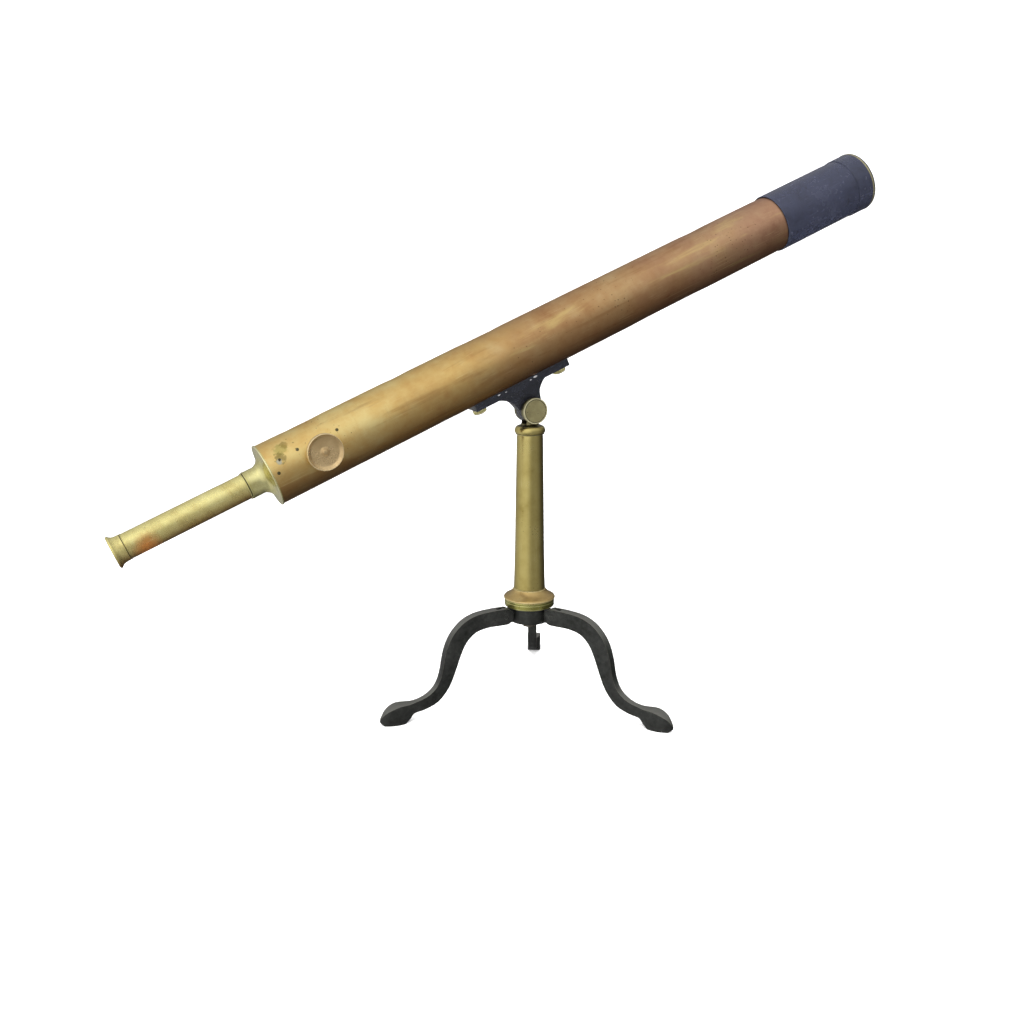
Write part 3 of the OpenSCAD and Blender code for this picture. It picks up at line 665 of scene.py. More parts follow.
# %% Tree: milled edge
milled, g, out = new_group("milled edge", "GeometryNodeTree",
    [("Geometry", GEOMETRY, None), ("From", NUMBER, 0.0), ("To", NUMBER, 0.01),
        ("Radius", NUMBER, 0.01), ("Ribs", INTEGER, 40), ("Depth", NUMBER, 0.0003),
        ("Material", FINISH, None)], [("Geometry", GEOMETRY)])
here = split(milled, own_place(milled))
far = maths(milled, "SQRT", plus(milled, times(milled, here[1], here[1]),
        times(milled, here[2], here[2])))
angle = maths(milled, "ARCTAN2", here[2], here[1])
rib = times_plus(milled, maths(milled, "COSINE", times(milled, angle, g["Ribs"])), -0.5, 0.5)
band = times(milled, maths(milled, "GREATER_THAN", here[0], g["From"]),
    maths(milled, "LESS_THAN", here[0], g["To"]))
band = times(milled, band, maths(milled, "GREATER_THAN", far, times(milled, g["Radius"], 0.97)))
push = minus(milled, 1.0, maths(milled, "DIVIDE", times(milled, times(milled, rib, band),
            g["Depth"]), g["Radius"]))
moved = xyz(milled, here[0], times(milled, here[1], push), times(milled, here[2], push))
cut = add(milled, "GeometryNodeSetPosition", {"Geometry": g["Geometry"], "Position": moved})
end_tree(milled, g, out, cut)


# %% Cut ribs into a turned head
def mill(name, outline, place, ribs, start, end, radius, depth, material):
    """Lathe an outline, cut its ribs, and stand it in place; sizes in millimetres."""
    blank = lathe(name + "_blank", outline, Matrix.Identity(4), around=ribs * 4)
    made = grow(name, milled, {"From": start / MM, "To": end / MM, "Radius": radius / MM,
            "Ribs": ribs, "Depth": depth / MM, "Material": material}, place, blank.data.copy())
    bpy.data.objects.remove(blank)
    return made


# %% [markdown]
# ## Slotted screws by rule
# Small screws hold the tail piece and the focusing box. Each is a point with a
# direction; the tree puts one domed, slotted head on every point. Boolean cuts
# the slot once, and instancing repeats the finished head.

# %% Tree: slotted screws
screws, g, out = new_group("slotted screws", "GeometryNodeTree",
    [("Geometry", GEOMETRY, None), ("Head", NUMBER, 0.002), ("Rise", NUMBER, 0.0005),
        ("Slot", NUMBER, 0.0005), ("Material", FINISH, None)], [("Geometry", GEOMETRY)])
blank = add(screws, "GeometryNodeMeshCylinder", {"Vertices": 24, "Side Segments": 1,
        "Fill Segments": 3, "Radius": g["Head"], "Depth": times(screws, g["Rise"], 2.0)})
at = split(screws, own_place(screws))
away = maths(screws, "DIVIDE", plus(screws, times(screws, at[0], at[0]),
        times(screws, at[1], at[1])), times(screws, g["Head"], g["Head"]))
dome = times(screws, minus(screws, 1.0, away), times(screws, g["Rise"], 0.9))
dome = times(screws, dome, maths(screws, "GREATER_THAN", at[2], 0.0))
raised = add(screws, "GeometryNodeSetPosition", {"Geometry": blank.outputs["Mesh"],
        "Offset": xyz(screws, z=dome)})
knife = add(screws, "GeometryNodeMeshCube", {"Size": xyz(screws, times(screws, g["Head"], 3.0),
            g["Slot"], times(screws, g["Rise"], 1.2))})
lifted = add(screws, "GeometryNodeSetPosition", {"Geometry": knife.outputs["Mesh"],
        "Offset": xyz(screws, z=times(screws, g["Rise"], 1.5))})
slotted = add(screws, "GeometryNodeMeshBoolean", {"Mesh 1": raised.outputs[0],
        "Mesh 2": lifted.outputs[0]}, operation="DIFFERENCE")
facing = add(screws, "GeometryNodeInputNamedAttribute", {"Name": "facing"},
    data_type="FLOAT_VECTOR")
turn = add(screws, "GeometryNodeInputNamedAttribute", {"Name": "turn"}, data_type="FLOAT")
aimed = add(screws, "FunctionNodeAlignRotationToVector", {"Vector": facing.outputs[0]}, axis="Z")
spun = add(screws, "FunctionNodeRotateRotation", {"Rotation": aimed.outputs[0],
        "Rotate By": add(screws, "FunctionNodeAxisAngleToRotation",
            {"Axis": (0, 0, 1), "Angle": turn.outputs[0]}).outputs[0]}, rotation_space="LOCAL")
placed = add(screws, "GeometryNodeInstanceOnPoints", {"Points": g["Geometry"],
        "Instance": slotted.outputs[0], "Rotation": spun.outputs[0]})
end_tree(screws, g, out, placed)


# %% Set screws into a surface
def set_screws(name, places, head, rise, slot_width, material):
    """places: (point, outward direction, turn of the slot), in metres and world space."""
    mesh = bpy.data.meshes.new(name)
    mesh.from_pydata([p for p, _, _ in places], [], [])
    mesh.attributes.new("facing", "FLOAT_VECTOR", "POINT")
    mesh.attributes.new("turn", "FLOAT", "POINT")
    for k, (_, direction, turn) in enumerate(places):
        mesh.attributes["facing"].data[k].vector = direction
        mesh.attributes["turn"].data[k].value = turn
    return grow(name, screws, {"Head": head, "Rise": rise, "Slot": slot_width,
            "Material": material}, base=mesh)


# %% [markdown]
# ## The finishes
# Eight brasses and a bronze differ in colour and age. The numbers in brackets are
# colours on the usual 0-255 scale: pale, middle, deep and freshly rubbed. They are
# the metal's own tint, not the tint that it has in light.

# %% Mix the brasses
pillar_brass = aged_brass("pillar brass", (202, 188, 124), (190, 174, 108), (166, 148, 84),
    (234, 224, 168), rough=0.29, patch=9.0, blotch=50.0, grain=(900.0, 25.0), spot=0.3)
draw_brass = aged_brass("drawtube brass", (228, 220, 162), (210, 200, 136), (180, 162, 96),
    (242, 234, 186), rough=0.26, metal=0.85, patch=10.0, blotch=60.0, along_tube=True,
    radius=0.0165, shade=(120, 88, 40), spot=0.45, blush=((-0.526, -0.0140, -0.0090), 0.022,
        (206, 132, 66)))
tail_brass = aged_brass("tail brass", (226, 220, 164), (210, 202, 142), (176, 164, 102),
    (244, 238, 196), rough=0.24, along_tube=True, patch=10.0, blotch=60.0, grain=(900.0, 25.0),
    spot=0.2, metal=0.95)
band_brass = aged_brass("band brass", (172, 168, 96), (156, 152, 82), (116, 110, 54),
    (214, 210, 148), rough=0.28, patch=12.0, blotch=60.0)
flare_brass = aged_brass("flare brass", (190, 170, 116), (178, 152, 98), (144, 116, 70),
    (222, 206, 150), rough=0.3, patch=12.0, metal=0.85)
knob_brass = aged_brass("knob brass", (210, 188, 144), (196, 170, 126), (170, 144, 102),
    (234, 214, 166), rough=0.27, patch=12.0, blotch=60.0, spot=0.15, metal=0.85)
clamp_brass = aged_brass("clamp brass", (162, 154, 114), (144, 136, 98), (112, 104, 74),
    (206, 200, 164), rough=0.30, patch=40.0, spot=0.6, metal=0.78)
fork_bronze = aged_brass("fork bronze", (150, 142, 106), (116, 110, 80), (70, 66, 46),
    (190, 180, 140), rough=0.38)
inner_brass = aged_brass("inner brass", (196, 170, 100), (170, 146, 84), (120, 96, 50),
    (230, 206, 150), rough=0.4)
print("mixed", len([m for m in bpy.data.materials if m.use_nodes]), "materials")

# %% [markdown]
# ## The main tube's lacquer
# The lacquer is yellow brass at the eye end and browner, then pinker, towards the
# lens, with long pale streaks where it has gone. The three tones are mixed along
# the tube, and a noise stretched along it makes the streaks.

# %% Lacquer of the main tube
tube_lacquer, tree, shader, place = start("tube lacquer", True)
axis = split(tree, place)[0]
sway = noise(tree, place, 14.0, Detail=4.0, Roughness=0.6)
drift = times_plus(tree, sway, 0.28, minus(tree, axis, 0.14))
near = use(tree, mottle, Vector=place, Patch_Scale=11.0, Blotch_Scale=60.0, Bias=0.56,
    Pale=srgb(242, 221, 154), Middle=srgb(228, 193, 122), Deep=srgb(210, 161, 95))
middle = use(tree, mottle, Vector=place, Patch_Scale=9.0, Blotch_Scale=50.0, Bias=0.5,
    Pale=srgb(214, 184, 136), Middle=srgb(197, 156, 109), Deep=srgb(177, 129, 86))
distant = use(tree, mottle, Vector=place, Patch_Scale=9.0, Blotch_Scale=70.0, Bias=0.47,
    Pale=srgb(212, 180, 142), Middle=srgb(196, 154, 124), Deep=srgb(172, 126, 102))
tone = blend_colour(tree, ramp(tree, drift, -0.20, 0.10), near["Color"], middle["Color"])
tone = blend_colour(tree, ramp(tree, drift, 0.15, 0.42), tone, distant["Color"])
pulled = add(tree, "ShaderNodeMapping", {0: place, 3: (5.0, 42.0, 42.0)}).outputs[0]
streak = noise(tree, pulled, 1.0, Detail=5.0, Roughness=0.6, Distortion=0.4)
bare = ramp(tree, streak, 0.54, 0.68)
tone = blend_colour(tree, times(tree, bare, 0.5), tone, srgb(232, 208, 138))
stain = ramp(tree, streak, 0.44, 0.33)
tone = blend_colour(tree, times(tree, stain, 0.32), tone, srgb(150, 98, 50))
# Painted shade: the lacquer darkens towards the bottom of the tube.
under = use(tree, underside_shade, Vector=place, Radius=0.04, From=0.30, To=-0.9)
tone = blend_colour(tree, times(tree, under["Mask"], 0.8), tone, srgb(128, 80, 46))
lines = use(tree, scratches, Vector=place, Along=14.0, Across=1400.0, Amount=0.8)
hoops = use(tree, scratches, Vector=place, Along=1600.0, Across=30.0, Amount=0.5)
pits = use(tree, spots, Vector=place, Scale=230.0, Size=0.26, Gather=9.0, Amount=0.5)
edge = use(tree, edge_wear_and_crease_shade, Vector=place)
tone = blend_colour(tree, times(tree, lines["Mask"], 0.4), tone, srgb(246, 226, 170))
tone = blend_colour(tree, times(tree, hoops["Mask"], 0.25), tone, srgb(110, 66, 30))
tone = blend_colour(tree, pits["Mask"], tone, srgb(84, 56, 32))

# A patch of verdigris beside the eye end, with one near-white spot and one dark spot in it.
torn = noise(tree, place, 160.0, Detail=4.0, Roughness=0.65)
for centre, reach, amount, tint in (((-0.336, -0.027, 0.029), 0.0100, 0.50, (160, 156, 78)),
    ((-0.329, -0.024, 0.032), 0.0060, 0.50, (138, 112, 52)),
    ((-0.341, -0.033, 0.022), 0.0085, 0.60, (110, 100, 52)),
    ((-0.3435, -0.0353, 0.0188), 0.0042, 0.80, (200, 198, 176)),
    ((-0.3425, -0.0345, 0.0205), 0.0024, 0.9, (54, 46, 26))):
    off = apart(tree, place, centre)
    off = times_plus(tree, torn, reach * 2.2, minus(tree, off, reach * 1.1))
    patch_mask = times(tree, ramp(tree, off, reach, reach * 0.55), amount)
    tone = blend_colour(tree, patch_mask, tone, srgb(*tint))

tone = blend_colour(tree, times(tree, edge["Rim"], 0.7), tone, srgb(245, 230, 175))
tree.links.new(tone, shader.inputs["Base Color"])
shader.inputs["Metallic"].default_value = 1.0
dull = times_plus(tree, sway, 0.22, 0.34)
dull = times_plus(tree, bare, -0.06, dull)
dull = times_plus(tree, pits["Mask"], 0.2, dull)
tree.links.new(dull, shader.inputs["Roughness"])
height = plus(tree, times(tree, lines["Height"], 0.25), pits["Height"])
bump(tree, shader, height, 0.00012)
print("tube lacquer has", len(tree.nodes), "nodes")

# %% [markdown]
# ## Black finishes
# The sunshade and the bracket are japanned: a blue-black gloss, its scratches
# painted pale blue as glints, worn to brass on its edges, and on the bracket
# chipped to white in small spots, with four pale specks near its top edge. The legs
# and the hub are bronzed, a dull grey-brown skin, with a painted highlight that makes faces pointing up paler.

# %% Japan black
def japan(name, body, along_tube, chip, specks=()):
    material, tree, shader, place = start(name, along_tube)
    old = use(tree, mottle, Vector=place, Patch_Scale=20.0, Blotch_Scale=150.0,
        Pale=srgb(*[c + 8 for c in body]), Middle=srgb(*body), Deep=srgb(*[c * 0.8 for c in body]))
    lines = use(tree, scratches, Vector=place, Along=40.0, Across=900.0, Amount=0.8)
    pits = use(tree, spots, Vector=place, Scale=210.0, Size=0.3, Gather=20.0, Amount=chip)
    edge = use(tree, edge_wear_and_crease_shade, Vector=place, Scale=160.0)
    # Scratches, painted pale blue as glints on the gloss.
    colour = blend_colour(tree, times(tree, lines["Mask"], 0.14), old["Color"],
        srgb(130, 136, 168))
    worn = times(tree, edge["Rim"], 0.8)
    colour = blend_colour(tree, worn, colour, srgb(170, 162, 122))
    colour = blend_colour(tree, pits["Mask"], colour, srgb(196, 196, 186))
    # Pale specks at the given places; the bracket has four near its top edge.
    flat = add(tree, "ShaderNodeVectorMath", {0: place, 1: (0.4, 0, 1)},
        operation="MULTIPLY").outputs["Vector"]
    for along, up, reach in specks:
        off = apart(tree, flat, (0.4 * along, 0, up))
        off = times_plus(tree, old["Cloud"], reach * 1.4, minus(tree, off, reach * 0.7))
        colour = blend_colour(tree, ramp(tree, off, reach, reach * 0.7, 0.0, 0.8), colour,
            srgb(170, 170, 172))
    tree.links.new(colour, shader.inputs["Base Color"])
    tree.links.new(worn, shader.inputs["Metallic"])
    tree.links.new(times_plus(tree, old["Cloud"], 0.2, 0.16), shader.inputs["Roughness"])
    bump(tree, shader, plus(tree, lines["Height"], pits["Height"]), 0.00002)
    return material


shade_black = japan("sunshade black", (34, 37, 53), True, 0.0)
bracket_black = japan("bracket black", (20, 22, 31), True, 0.2,
    ((0.017, -0.0385, 0.0013), (0.009, -0.0397, 0.0007), (-0.041, -0.0385, 0.0009),
        (-0.030, -0.0392, 0.0006)))
ring_black = japan("mouth ring black", (33, 36, 51), True, 0.0)
print("japan black in three pots")

# %% Bronzed iron look of the legs
leg_bronze, tree, shader, place = start("leg bronze", False)
old = use(tree, mottle, Vector=place, Patch_Scale=26.0, Blotch_Scale=170.0, Pale=srgb(70, 71, 68),
    Middle=srgb(50, 51, 49), Deep=srgb(32, 33, 30))
lines = use(tree, scratches, Vector=place, Along=300.0, Across=300.0, Amount=0.5)
pits = use(tree, spots, Vector=place, Scale=300.0, Size=0.36, Gather=24.0, Amount=0.7)
edge = use(tree, edge_wear_and_crease_shade, Vector=place, Scale=90.0)
# Painted highlight: faces that point up get a paler colour, as if lit from above.
up_facing_light = add(tree, "ShaderNodeTexCoord").outputs["Normal"]
up_facing_light = add(tree, "ShaderNodeVectorMath", {0: up_facing_light, 1: (0, 0, 1)},
    operation="DOT_PRODUCT").outputs["Value"]
colour = blend_colour(tree, ramp(tree, up_facing_light, 0.2, 0.85, 0.0, 0.7), old["Color"],
    srgb(124, 124, 118))
colour = blend_colour(tree, times(tree, edge["Rim"], 0.45), colour, srgb(140, 138, 124))
colour = blend_colour(tree, pits["Mask"], colour, srgb(30, 28, 22))
colour = blend_colour(tree, times(tree, lines["Mask"], 0.2), colour, srgb(110, 112, 108))
tree.links.new(colour, shader.inputs["Base Color"])
shader.inputs["Metallic"].default_value = 0.75
tree.links.new(times_plus(tree, old["Cloud"], 0.3, 0.22), shader.inputs["Roughness"])
lumps = noise(tree, place, 260.0, Detail=4.0)
bump(tree, shader, plus(tree, times(tree, lumps, 0.6), pits["Height"]), 0.0002)
print("leg bronze has", len(tree.nodes), "nodes")

# %% [markdown]
# ## Steel, dark paint and glass
# The screws and the focusing shaft are steel, the stops inside are flat black,
# and the lenses are clear glass with a faint green. Glass keeps plain numbers on
# its shader, so only its roughness carries the smears.

# %% Steel, stop black and glass
def cloudy(name, pale, middle, deep, patch, blotch, metal, dull, depth):
    """A mottled finish without wear, for small pieces and hidden ones."""
    material, tree, shader, place = start(name, False)
    old = use(tree, mottle, Vector=place, Patch_Scale=patch, Blotch_Scale=blotch, Pale=srgb(*pale),
        Middle=srgb(*middle), Deep=srgb(*deep))
    tree.links.new(old["Color"], shader.inputs["Base Color"])
    shader.inputs["Metallic"].default_value = metal
    tree.links.new(times_plus(tree, old["Cloud"], 0.3, dull), shader.inputs["Roughness"])
    bump(tree, shader, old["Cloud"], depth)
    return material


steel = cloudy("old steel", (150, 148, 142), (104, 98, 88), (60, 50, 38), 60.0, 300.0, 1.0, 0.2,
    0.0001)
stop_black = cloudy("stop black", (52, 50, 48), (34, 33, 32), (20, 19, 18), 40.0, 400.0, 0.0, 0.5,
    0.0002)

glass, tree, shader, place = start("lens glass", False)
smear = noise(tree, place, 90.0, Detail=4.0)
tree.links.new(ramp(tree, smear, 0.5, 0.8, 0.01, 0.12), shader.inputs["Roughness"])
shader.inputs["Base Color"].default_value = (0.86, 0.95, 0.90, 1)
shader.inputs["Transmission Weight"].default_value = 1.0
shader.inputs["IOR"].default_value = 1.52
print("steel, stop black and glass are ready")

# %% [markdown]
# ## The main tube
# The tree is given the CAD tube's own radius and ends, so nothing is fitted by eye.

# %% Draw the main tube
start_s, end_s, tube_r = span("main_tube", ALONG)
bore_r = span("baffle_front", ALONG)[2]
tube = grow("main_tube_shell", drawn, {"Radius": tube_r / MM, "Wall": (tube_r - bore_r) / MM,
        "Start": start_s / MM, "End": end_s / MM, "Dent Depth": 0.0006, "Dent Size": 0.075,
        "Seed": 3.7, "Rings": 150, "Material": tube_lacquer}, ALONG)
settle(tube, "tube", "tube_brass", "main_tube")

# %% [markdown]
# ## The tail piece
# A flared collar closes the eye end and carries the drawtube. It is one turning:
# a lipped collar, a trumpet that sweeps out to the tube, and a thin raised line.

# %% Turn the tail piece
near = span("tail_piece", ALONG)[0]
draw_r = span("drawtube", ALONG)[2]
e, c, b = start_s, draw_r + 1.3, draw_r + 0.08
trumpet = sweep([(c, e - 14.0), (c + 1.0, e - 11.4), (c + 3.8, e - 7.6), (c + 8.8, e - 4.6),
        (c + 15.0, e - 3.0), (tube_r - 0.6, e - 2.3)], 5)
tail = lathe("tail_flare", [(b, near, -0.1), (c - 0.3, near, -0.3), (c + 0.1, near + 0.8, -0.2),
        (c - 0.6, near + 1.0, 0.2), (c - 0.6, near + 2.1, 0.2), (c + 0.5, near + 2.4, -0.3),
        (c + 0.4, near + 3.6, -0.4), (c, near + 4.2, -0.1)] + trumpet
    + [(tube_r + 0.9, e - 2.2, 0.3), (tube_r + 0.9, e - 0.02, -0.3), (bore_r - 0.05, e - 0.02),
        (bore_r - 0.05, e + 12), (bore_r - 5, e + 12), (bore_r - 7, e + 1.5, 1),
        (b + 4, e + 1.5, 1), (b + 3, e + 8, 0.5), (b, e + 8, 0.3)], ALONG, 128)
settle(paint(tail, tail_brass), "tube", "tail_brass", "tail_piece")

# %% Set the small screws
def on_tube(s, rise, lift=0.0):
    """Point and outward direction on the tube, rise in degrees above the viewer's side."""
    a = math.radians(rise)
    out = Vector((0, -math.cos(a), math.sin(a)))
    return ALONG @ (Vector((s / MM, 0, 0)) + out * (tube_r + lift) / MM), ALONG.to_3x3() @ out


def screw_places(s_list, rises, lift, turns):
    """One (point, direction, slot turn) for each screw in a ring or a pair."""
    places = []
    for s in s_list:
        for rise in rises:
            point, out = on_tube(s, rise, lift)
            places.append((point, out, turns[len(places) % len(turns)]))
    return places


focus_s = (ALONG.inverted() @ knob_at).x * MM
tail_set = set_screws("tail_screw_heads", screw_places([e + 7], (10, 130, 250), -0.1,
        (0.4, 1.3, 2.2)), 0.0021, 0.00035, 0.0006, fork_bronze)
settle(tail_set, "tube", "inner_brass", "tail_screws")
box_set = set_screws("box_screw_heads", screw_places([focus_s - 27.5, focus_s + 27.5], (33,), -0.1,
        (1.1, 0.2)), 0.0021, 0.00035, 0.0006, fork_bronze)
settle(box_set, "tube", "inner_brass", "box_screws")

# %% [markdown]
# ## The drawtube and the eyecup
# The eye end slides in and out, so it is polished by every use. The eyecup's rim
# is a full round bead, and a concave sweep runs from it down to the tube.

# %% Draw the drawtube
near, far, _ = span("drawtube", ALONG)
inner = span("erector_tube", ALONG)[2] + 0.05
pull = grow("draw_shell", drawn, {"Radius": draw_r / MM, "Wall": (draw_r - inner) / MM,
        "Start": near / MM, "End": far / MM, "Dent Depth": 0.0003, "Dent Size": 0.045, "Seed": 8.1,
        "Rings": 120, "Material": draw_brass}, ALONG)
settle(pull, "draw", "draw_brass", "drawtube")

# %% Turn the eyecup
cup_near, _, cup_r = span("eyecup", ALONG)
e = near
cup_l = e - cup_near
groove = [(draw_r + 0.75, e - 0.3, -0.1), (draw_r + 0.75, e - 0.9, -0.1),
    (draw_r + 0.15, e - 1.1, 0.15), (draw_r + 0.15, e - 2.0, 0.15)]
side = sweep([(draw_r + 0.6, e - 2.2), (draw_r + 0.45, e - 0.25 * cup_l),
        (draw_r + 0.6, e - 0.4 * cup_l), (draw_r + 1.3, e - 0.6 * cup_l),
        (cup_r - 1.5, e - 0.77 * cup_l), (cup_r - 0.9, e - 0.80 * cup_l)], 4)
side += sweep([(cup_r - 0.5, e - 0.82 * cup_l), (cup_r - 0.05, e - 0.87 * cup_l),
        (cup_r, e - 0.91 * cup_l), (cup_r - 0.4, e - 0.965 * cup_l), (cup_r - 1.6, cup_near)], 4)
cup = lathe("eyecup_turning", [(inner - 0.1, e, 0.1), (draw_r + 0.2, e, -0.1)] + groove + side
    + sweep([(cup_r - 3.4, cup_near + 0.3), (12, e - 0.82 * cup_l), (5, e - 7.4), (4.2, e - 6.6),
            (5, e - 5.8)], 4) + [(inner - 3, e - 5.4), (inner - 3, e - 3), (inner - 1.1, e - 3),
        (inner - 1.1, e - 2), (inner - 0.1, e - 2)], ALONG, 96)
settle(paint(cup, draw_brass), "eyepiece", "draw_brass", "eyecup")

# %% [markdown]
# ## The sunshade
# The sunshade slides over the tube's end. Its back edge is rolled thin, and a
# plain ring at the mouth stands a millimetre proud, for a slip-on cap.

# %% Turn the sunshade and its ring
back, front, ring_r = span("sunshade", ALONG)
bore = tube_r + 0.08
shade = lathe("sunshade_turning", [(bore, back, -0.2), (ring_r - 0.3, back, -0.3),
        (ring_r, back + 0.9, -0.3), (ring_r, back + 40), (ring_r, back + 80), (ring_r, back + 120),
        (ring_r, front, 0.3), (bore, front, 0.3)], ALONG, 128)
settle(paint(shade, shade_black), "shade", "japan_black", "sunshade")
b0, b1, mouth_r = span("mouth_ring", ALONG)
mouth = lathe("mouth_ring_turning", [(ring_r + 0.02, b0), (mouth_r - 0.5, b0, -0.2),
        (mouth_r, b0 + 1.0, -0.4), (mouth_r, b1 - 5.0, -0.2), (mouth_r + 0.5, b1 - 4.6, 0.3),
        (mouth_r + 0.5, b1 - 2.9, 0.3), (mouth_r, b1 - 2.4, -0.2), (mouth_r, b1 - 0.7, -0.5),
        (mouth_r - 0.6, b1, -0.3), (ring_r + 0.02, b1, -0.1)], ALONG, 128)
settle(paint(mouth, ring_black), "shade", "japan_black", "mouth_ring")

# %% [markdown]
# ## The object glass
# Inside the shade the cell ring holds the two-part lens. Only the front lens is
# seen, so it is turned with a true curved face; the rest keeps its CAD shape.

# %% Turn the front lens and its ring
l0, l1, lens_r = span("crown_lens", ALONG)
bow = [(lens_r * k / 8, l1 - (1 - math.sqrt(1 - (lens_r * k / 8 / 460) ** 2)) * 460)
    for k in range(9)]
hollow = [(lens_r * k / 8, l0 + (1 - math.sqrt(1 - (lens_r * k / 8 / 320) ** 2)) * 320)
    for k in range(8, -1, -1)]
crown = lathe("crown_lens_turning", bow + hollow, ALONG, 96)
settle(paint(crown, glass), "tube", "lens_glass", "crown_lens")
r0, r1, rr = span("cell_ring", ALONG)
ring = lathe("cell_ring_turning", [(rr, r0), (rr, r1, 0.3), (rr - 1.2, r1, 0.4),
        (rr - 2.35, r0 + 1.4, 0.3), (rr - 2.35, r0, 0.1)], ALONG, 96)
settle(paint(ring, inner_brass), "tube", "inner_brass", "cell_ring")

# %% [markdown]
# ## The focus knob
# The knob is a dished disc with a raised rim. Its edge is milled finely, so a
# thumb and finger can turn it, and a domed nut sits in the middle of the dish.

# %% Turn and mill the focus knob
k0, k1, knob_r = span("focus_knob", KNOB)
dish = sweep([(knob_r - 1.2, k1 - 0.1), (knob_r - 2.4, k1 - 1.2), (knob_r - 4.2, k1 - 2.7),
        (knob_r - 6, k1 - 3.5), (knob_r - 10, k1 - 3.9), (8.0, k1 - 4.0), (5.8, k1 - 3.5),
        (4.6, k1 - 2.7)], 4)
knob = mill("focus_knob_turning", [(2.52, k0), (7, k0, 0.4), (7, k0 + 2.6, 0.6),
        (knob_r - 1.6, k0 + 2.6, 0.6), (knob_r, k0 + 3.9, 0.5), (knob_r, k1 - 1.3, 0.4),
        (knob_r - 0.7, k1, 0.35)] + dish + [(2.52, k1 - 2.7)], KNOB, 96, k0 + 3.6, k1 - 1.0,
    knob_r, 0.35, knob_brass)
settle(knob, "focus", "knob_brass", "focus_knob")
n0, n1, nut_r = span("knob_screw", KNOB)
pip = lathe("knob_screw_turning", [(0, n0), (nut_r, n0), (nut_r, n0 + 0.3, 0.2)]
    + sweep([(nut_r - 0.3, n0 + 0.9), (nut_r * 0.7, n0 + 1.7), (nut_r * 0.3, n1 - 0.1), (0, n1)],
        4), KNOB, 40)
settle(paint(pip, knob_brass), "focus", "knob_brass", "knob_screw")

# %% [markdown]
# ## The pillar
# The pillar is four turnings on one rod: a band that locks the legs, a flared
# foot, a slow taper, and a collar with the bead that the head turns on.

# %% Turn the pillar
z0, z1, r = span("foot_band", UP)
rod_r = 5.05
band = lathe("foot_band_turning", [(rod_r, z0), (r - 0.6, z0, 0.4), (r, z0 + 0.8, 0.4),
        (r, z1 - 3.6, 0.15), (r - 0.3, z1 - 3.3, -0.1), (r - 0.3, z1 - 3.0, -0.1),
        (r, z1 - 2.7, -0.15), (r, z1 - 0.4, 0.3), (r - 0.3, z1, 0.2), (rod_r, z1)], UP, 112)
settle(paint(band, band_brass), "stand", "band_brass", "foot_band")

z0, z1, r = span("foot_flare", UP)
col0, col1, col_r = span("column", UP)
flare = lathe("foot_flare_turning", [(rod_r, z0), (r - 0.6, z0, -0.3), (r - 0.15, z0 + 0.6, -0.4),
        (r - 0.1, z0 + 1.6, 0.4), (r - 0.9, z0 + 2.8, -0.5)]
    + sweep([(r - 1.5, z0 + 3.6), (r - 4.6, z0 + 5.2), (col_r + 6.0, z0 + 7.6),
            (col_r + 3.2, z0 + 10.0), (col_r + 1.5, z0 + 12.2), (col_r + 1.0, z0 + 13.2)], 4)
    + [(col_r + 1.0, z0 + 13.3, 0.2), (col_r + 0.4, z1 - 0.1, 0.2), (rod_r, z1 - 0.1)], UP, 112)
settle(paint(flare, flare_brass), "stand", "flare_brass", "foot_flare")

h = col1 - col0
taper = [(col_r - d, col0 + h * t) for d, t in ((0, 0.012), (0.5, 0.06), (1.1, 0.16), (1.9, 0.35),
        (2.7, 0.6), (3.5, 0.82), (4.0, 0.985))]
column = lathe("column_turning", [(col_r - 8.2, col0), (col_r - 0.2, col0, 0.2)] + sweep(taper, 8)
    + [(col_r - 4.4, col1), (col_r - 8.2, col1)], UP, 112)
settle(paint(column, pillar_brass), "stand", "pillar_brass", "column")

z0, z1, r = span("column_collar", UP)
bead0 = col1
h = z1 - bead0
bead = lathe("collar_turning", [(11.02, z0), (col_r - 8.25, z0), (col_r - 8.25, bead0),
        (col_r - 4.0, bead0, 0.2), (col_r - 3.9, bead0 + 0.8, 0.2),
        (col_r - 2.6, bead0 + 1.0, 0.2), (col_r - 2.5, bead0 + 1.9, 0.3)]
    + sweep([(r - 0.8, bead0 + 0.26 * h), (r - 0.1, bead0 + 0.38 * h), (r, bead0 + 0.5 * h),
            (r - 0.3, bead0 + 0.66 * h), (r - 1.4, bead0 + 0.86 * h), (r - 2.6, bead0 + 0.97 * h),
            (r - 3.4, z1)], 4) + [(11.02, z1)], UP, 112)
settle(paint(bead, pillar_brass), "stand", "pillar_brass", "column_collar")

# %% [markdown]
# ## The legs and the hub
# Each leg is one bronze casting, forked at the knuckle, with a crisp ridge along
# the top that handling has softened. The hub between them has three tongues.

# %% File the legs and the hub
for body, cad in (("back_leg", "leg_back"), ("left_leg", "leg_left"), ("right_leg", "leg_right")):
    leg = casting(body + "_casting", cad, 1.1, steps=3)
    settle(paint(leg, leg_bronze), body, "bronze_dark", cad)
hub = casting("hub_casting", "hub", 0.5)
settle(paint(hub, leg_bronze), "stand", "bronze_dark", "hub")

# %% [markdown]
# ## The head
# A bronze fork turns on the pillar and grips the bracket's lug. A knob on the
# viewer's side clamps it, and a domed bolt head closes the far side.

# %% File the fork and the bracket
fork = casting("fork_casting", "pivot_fork", 0.5)
settle(paint(fork, fork_bronze), "head", "fork_bronze", "pivot_fork")
bracket = casting("bracket_casting", "saddle_bracket", 0.9, steps=3)
settle(paint(bracket, bracket_black), "tube", "japan_black", "saddle_bracket")

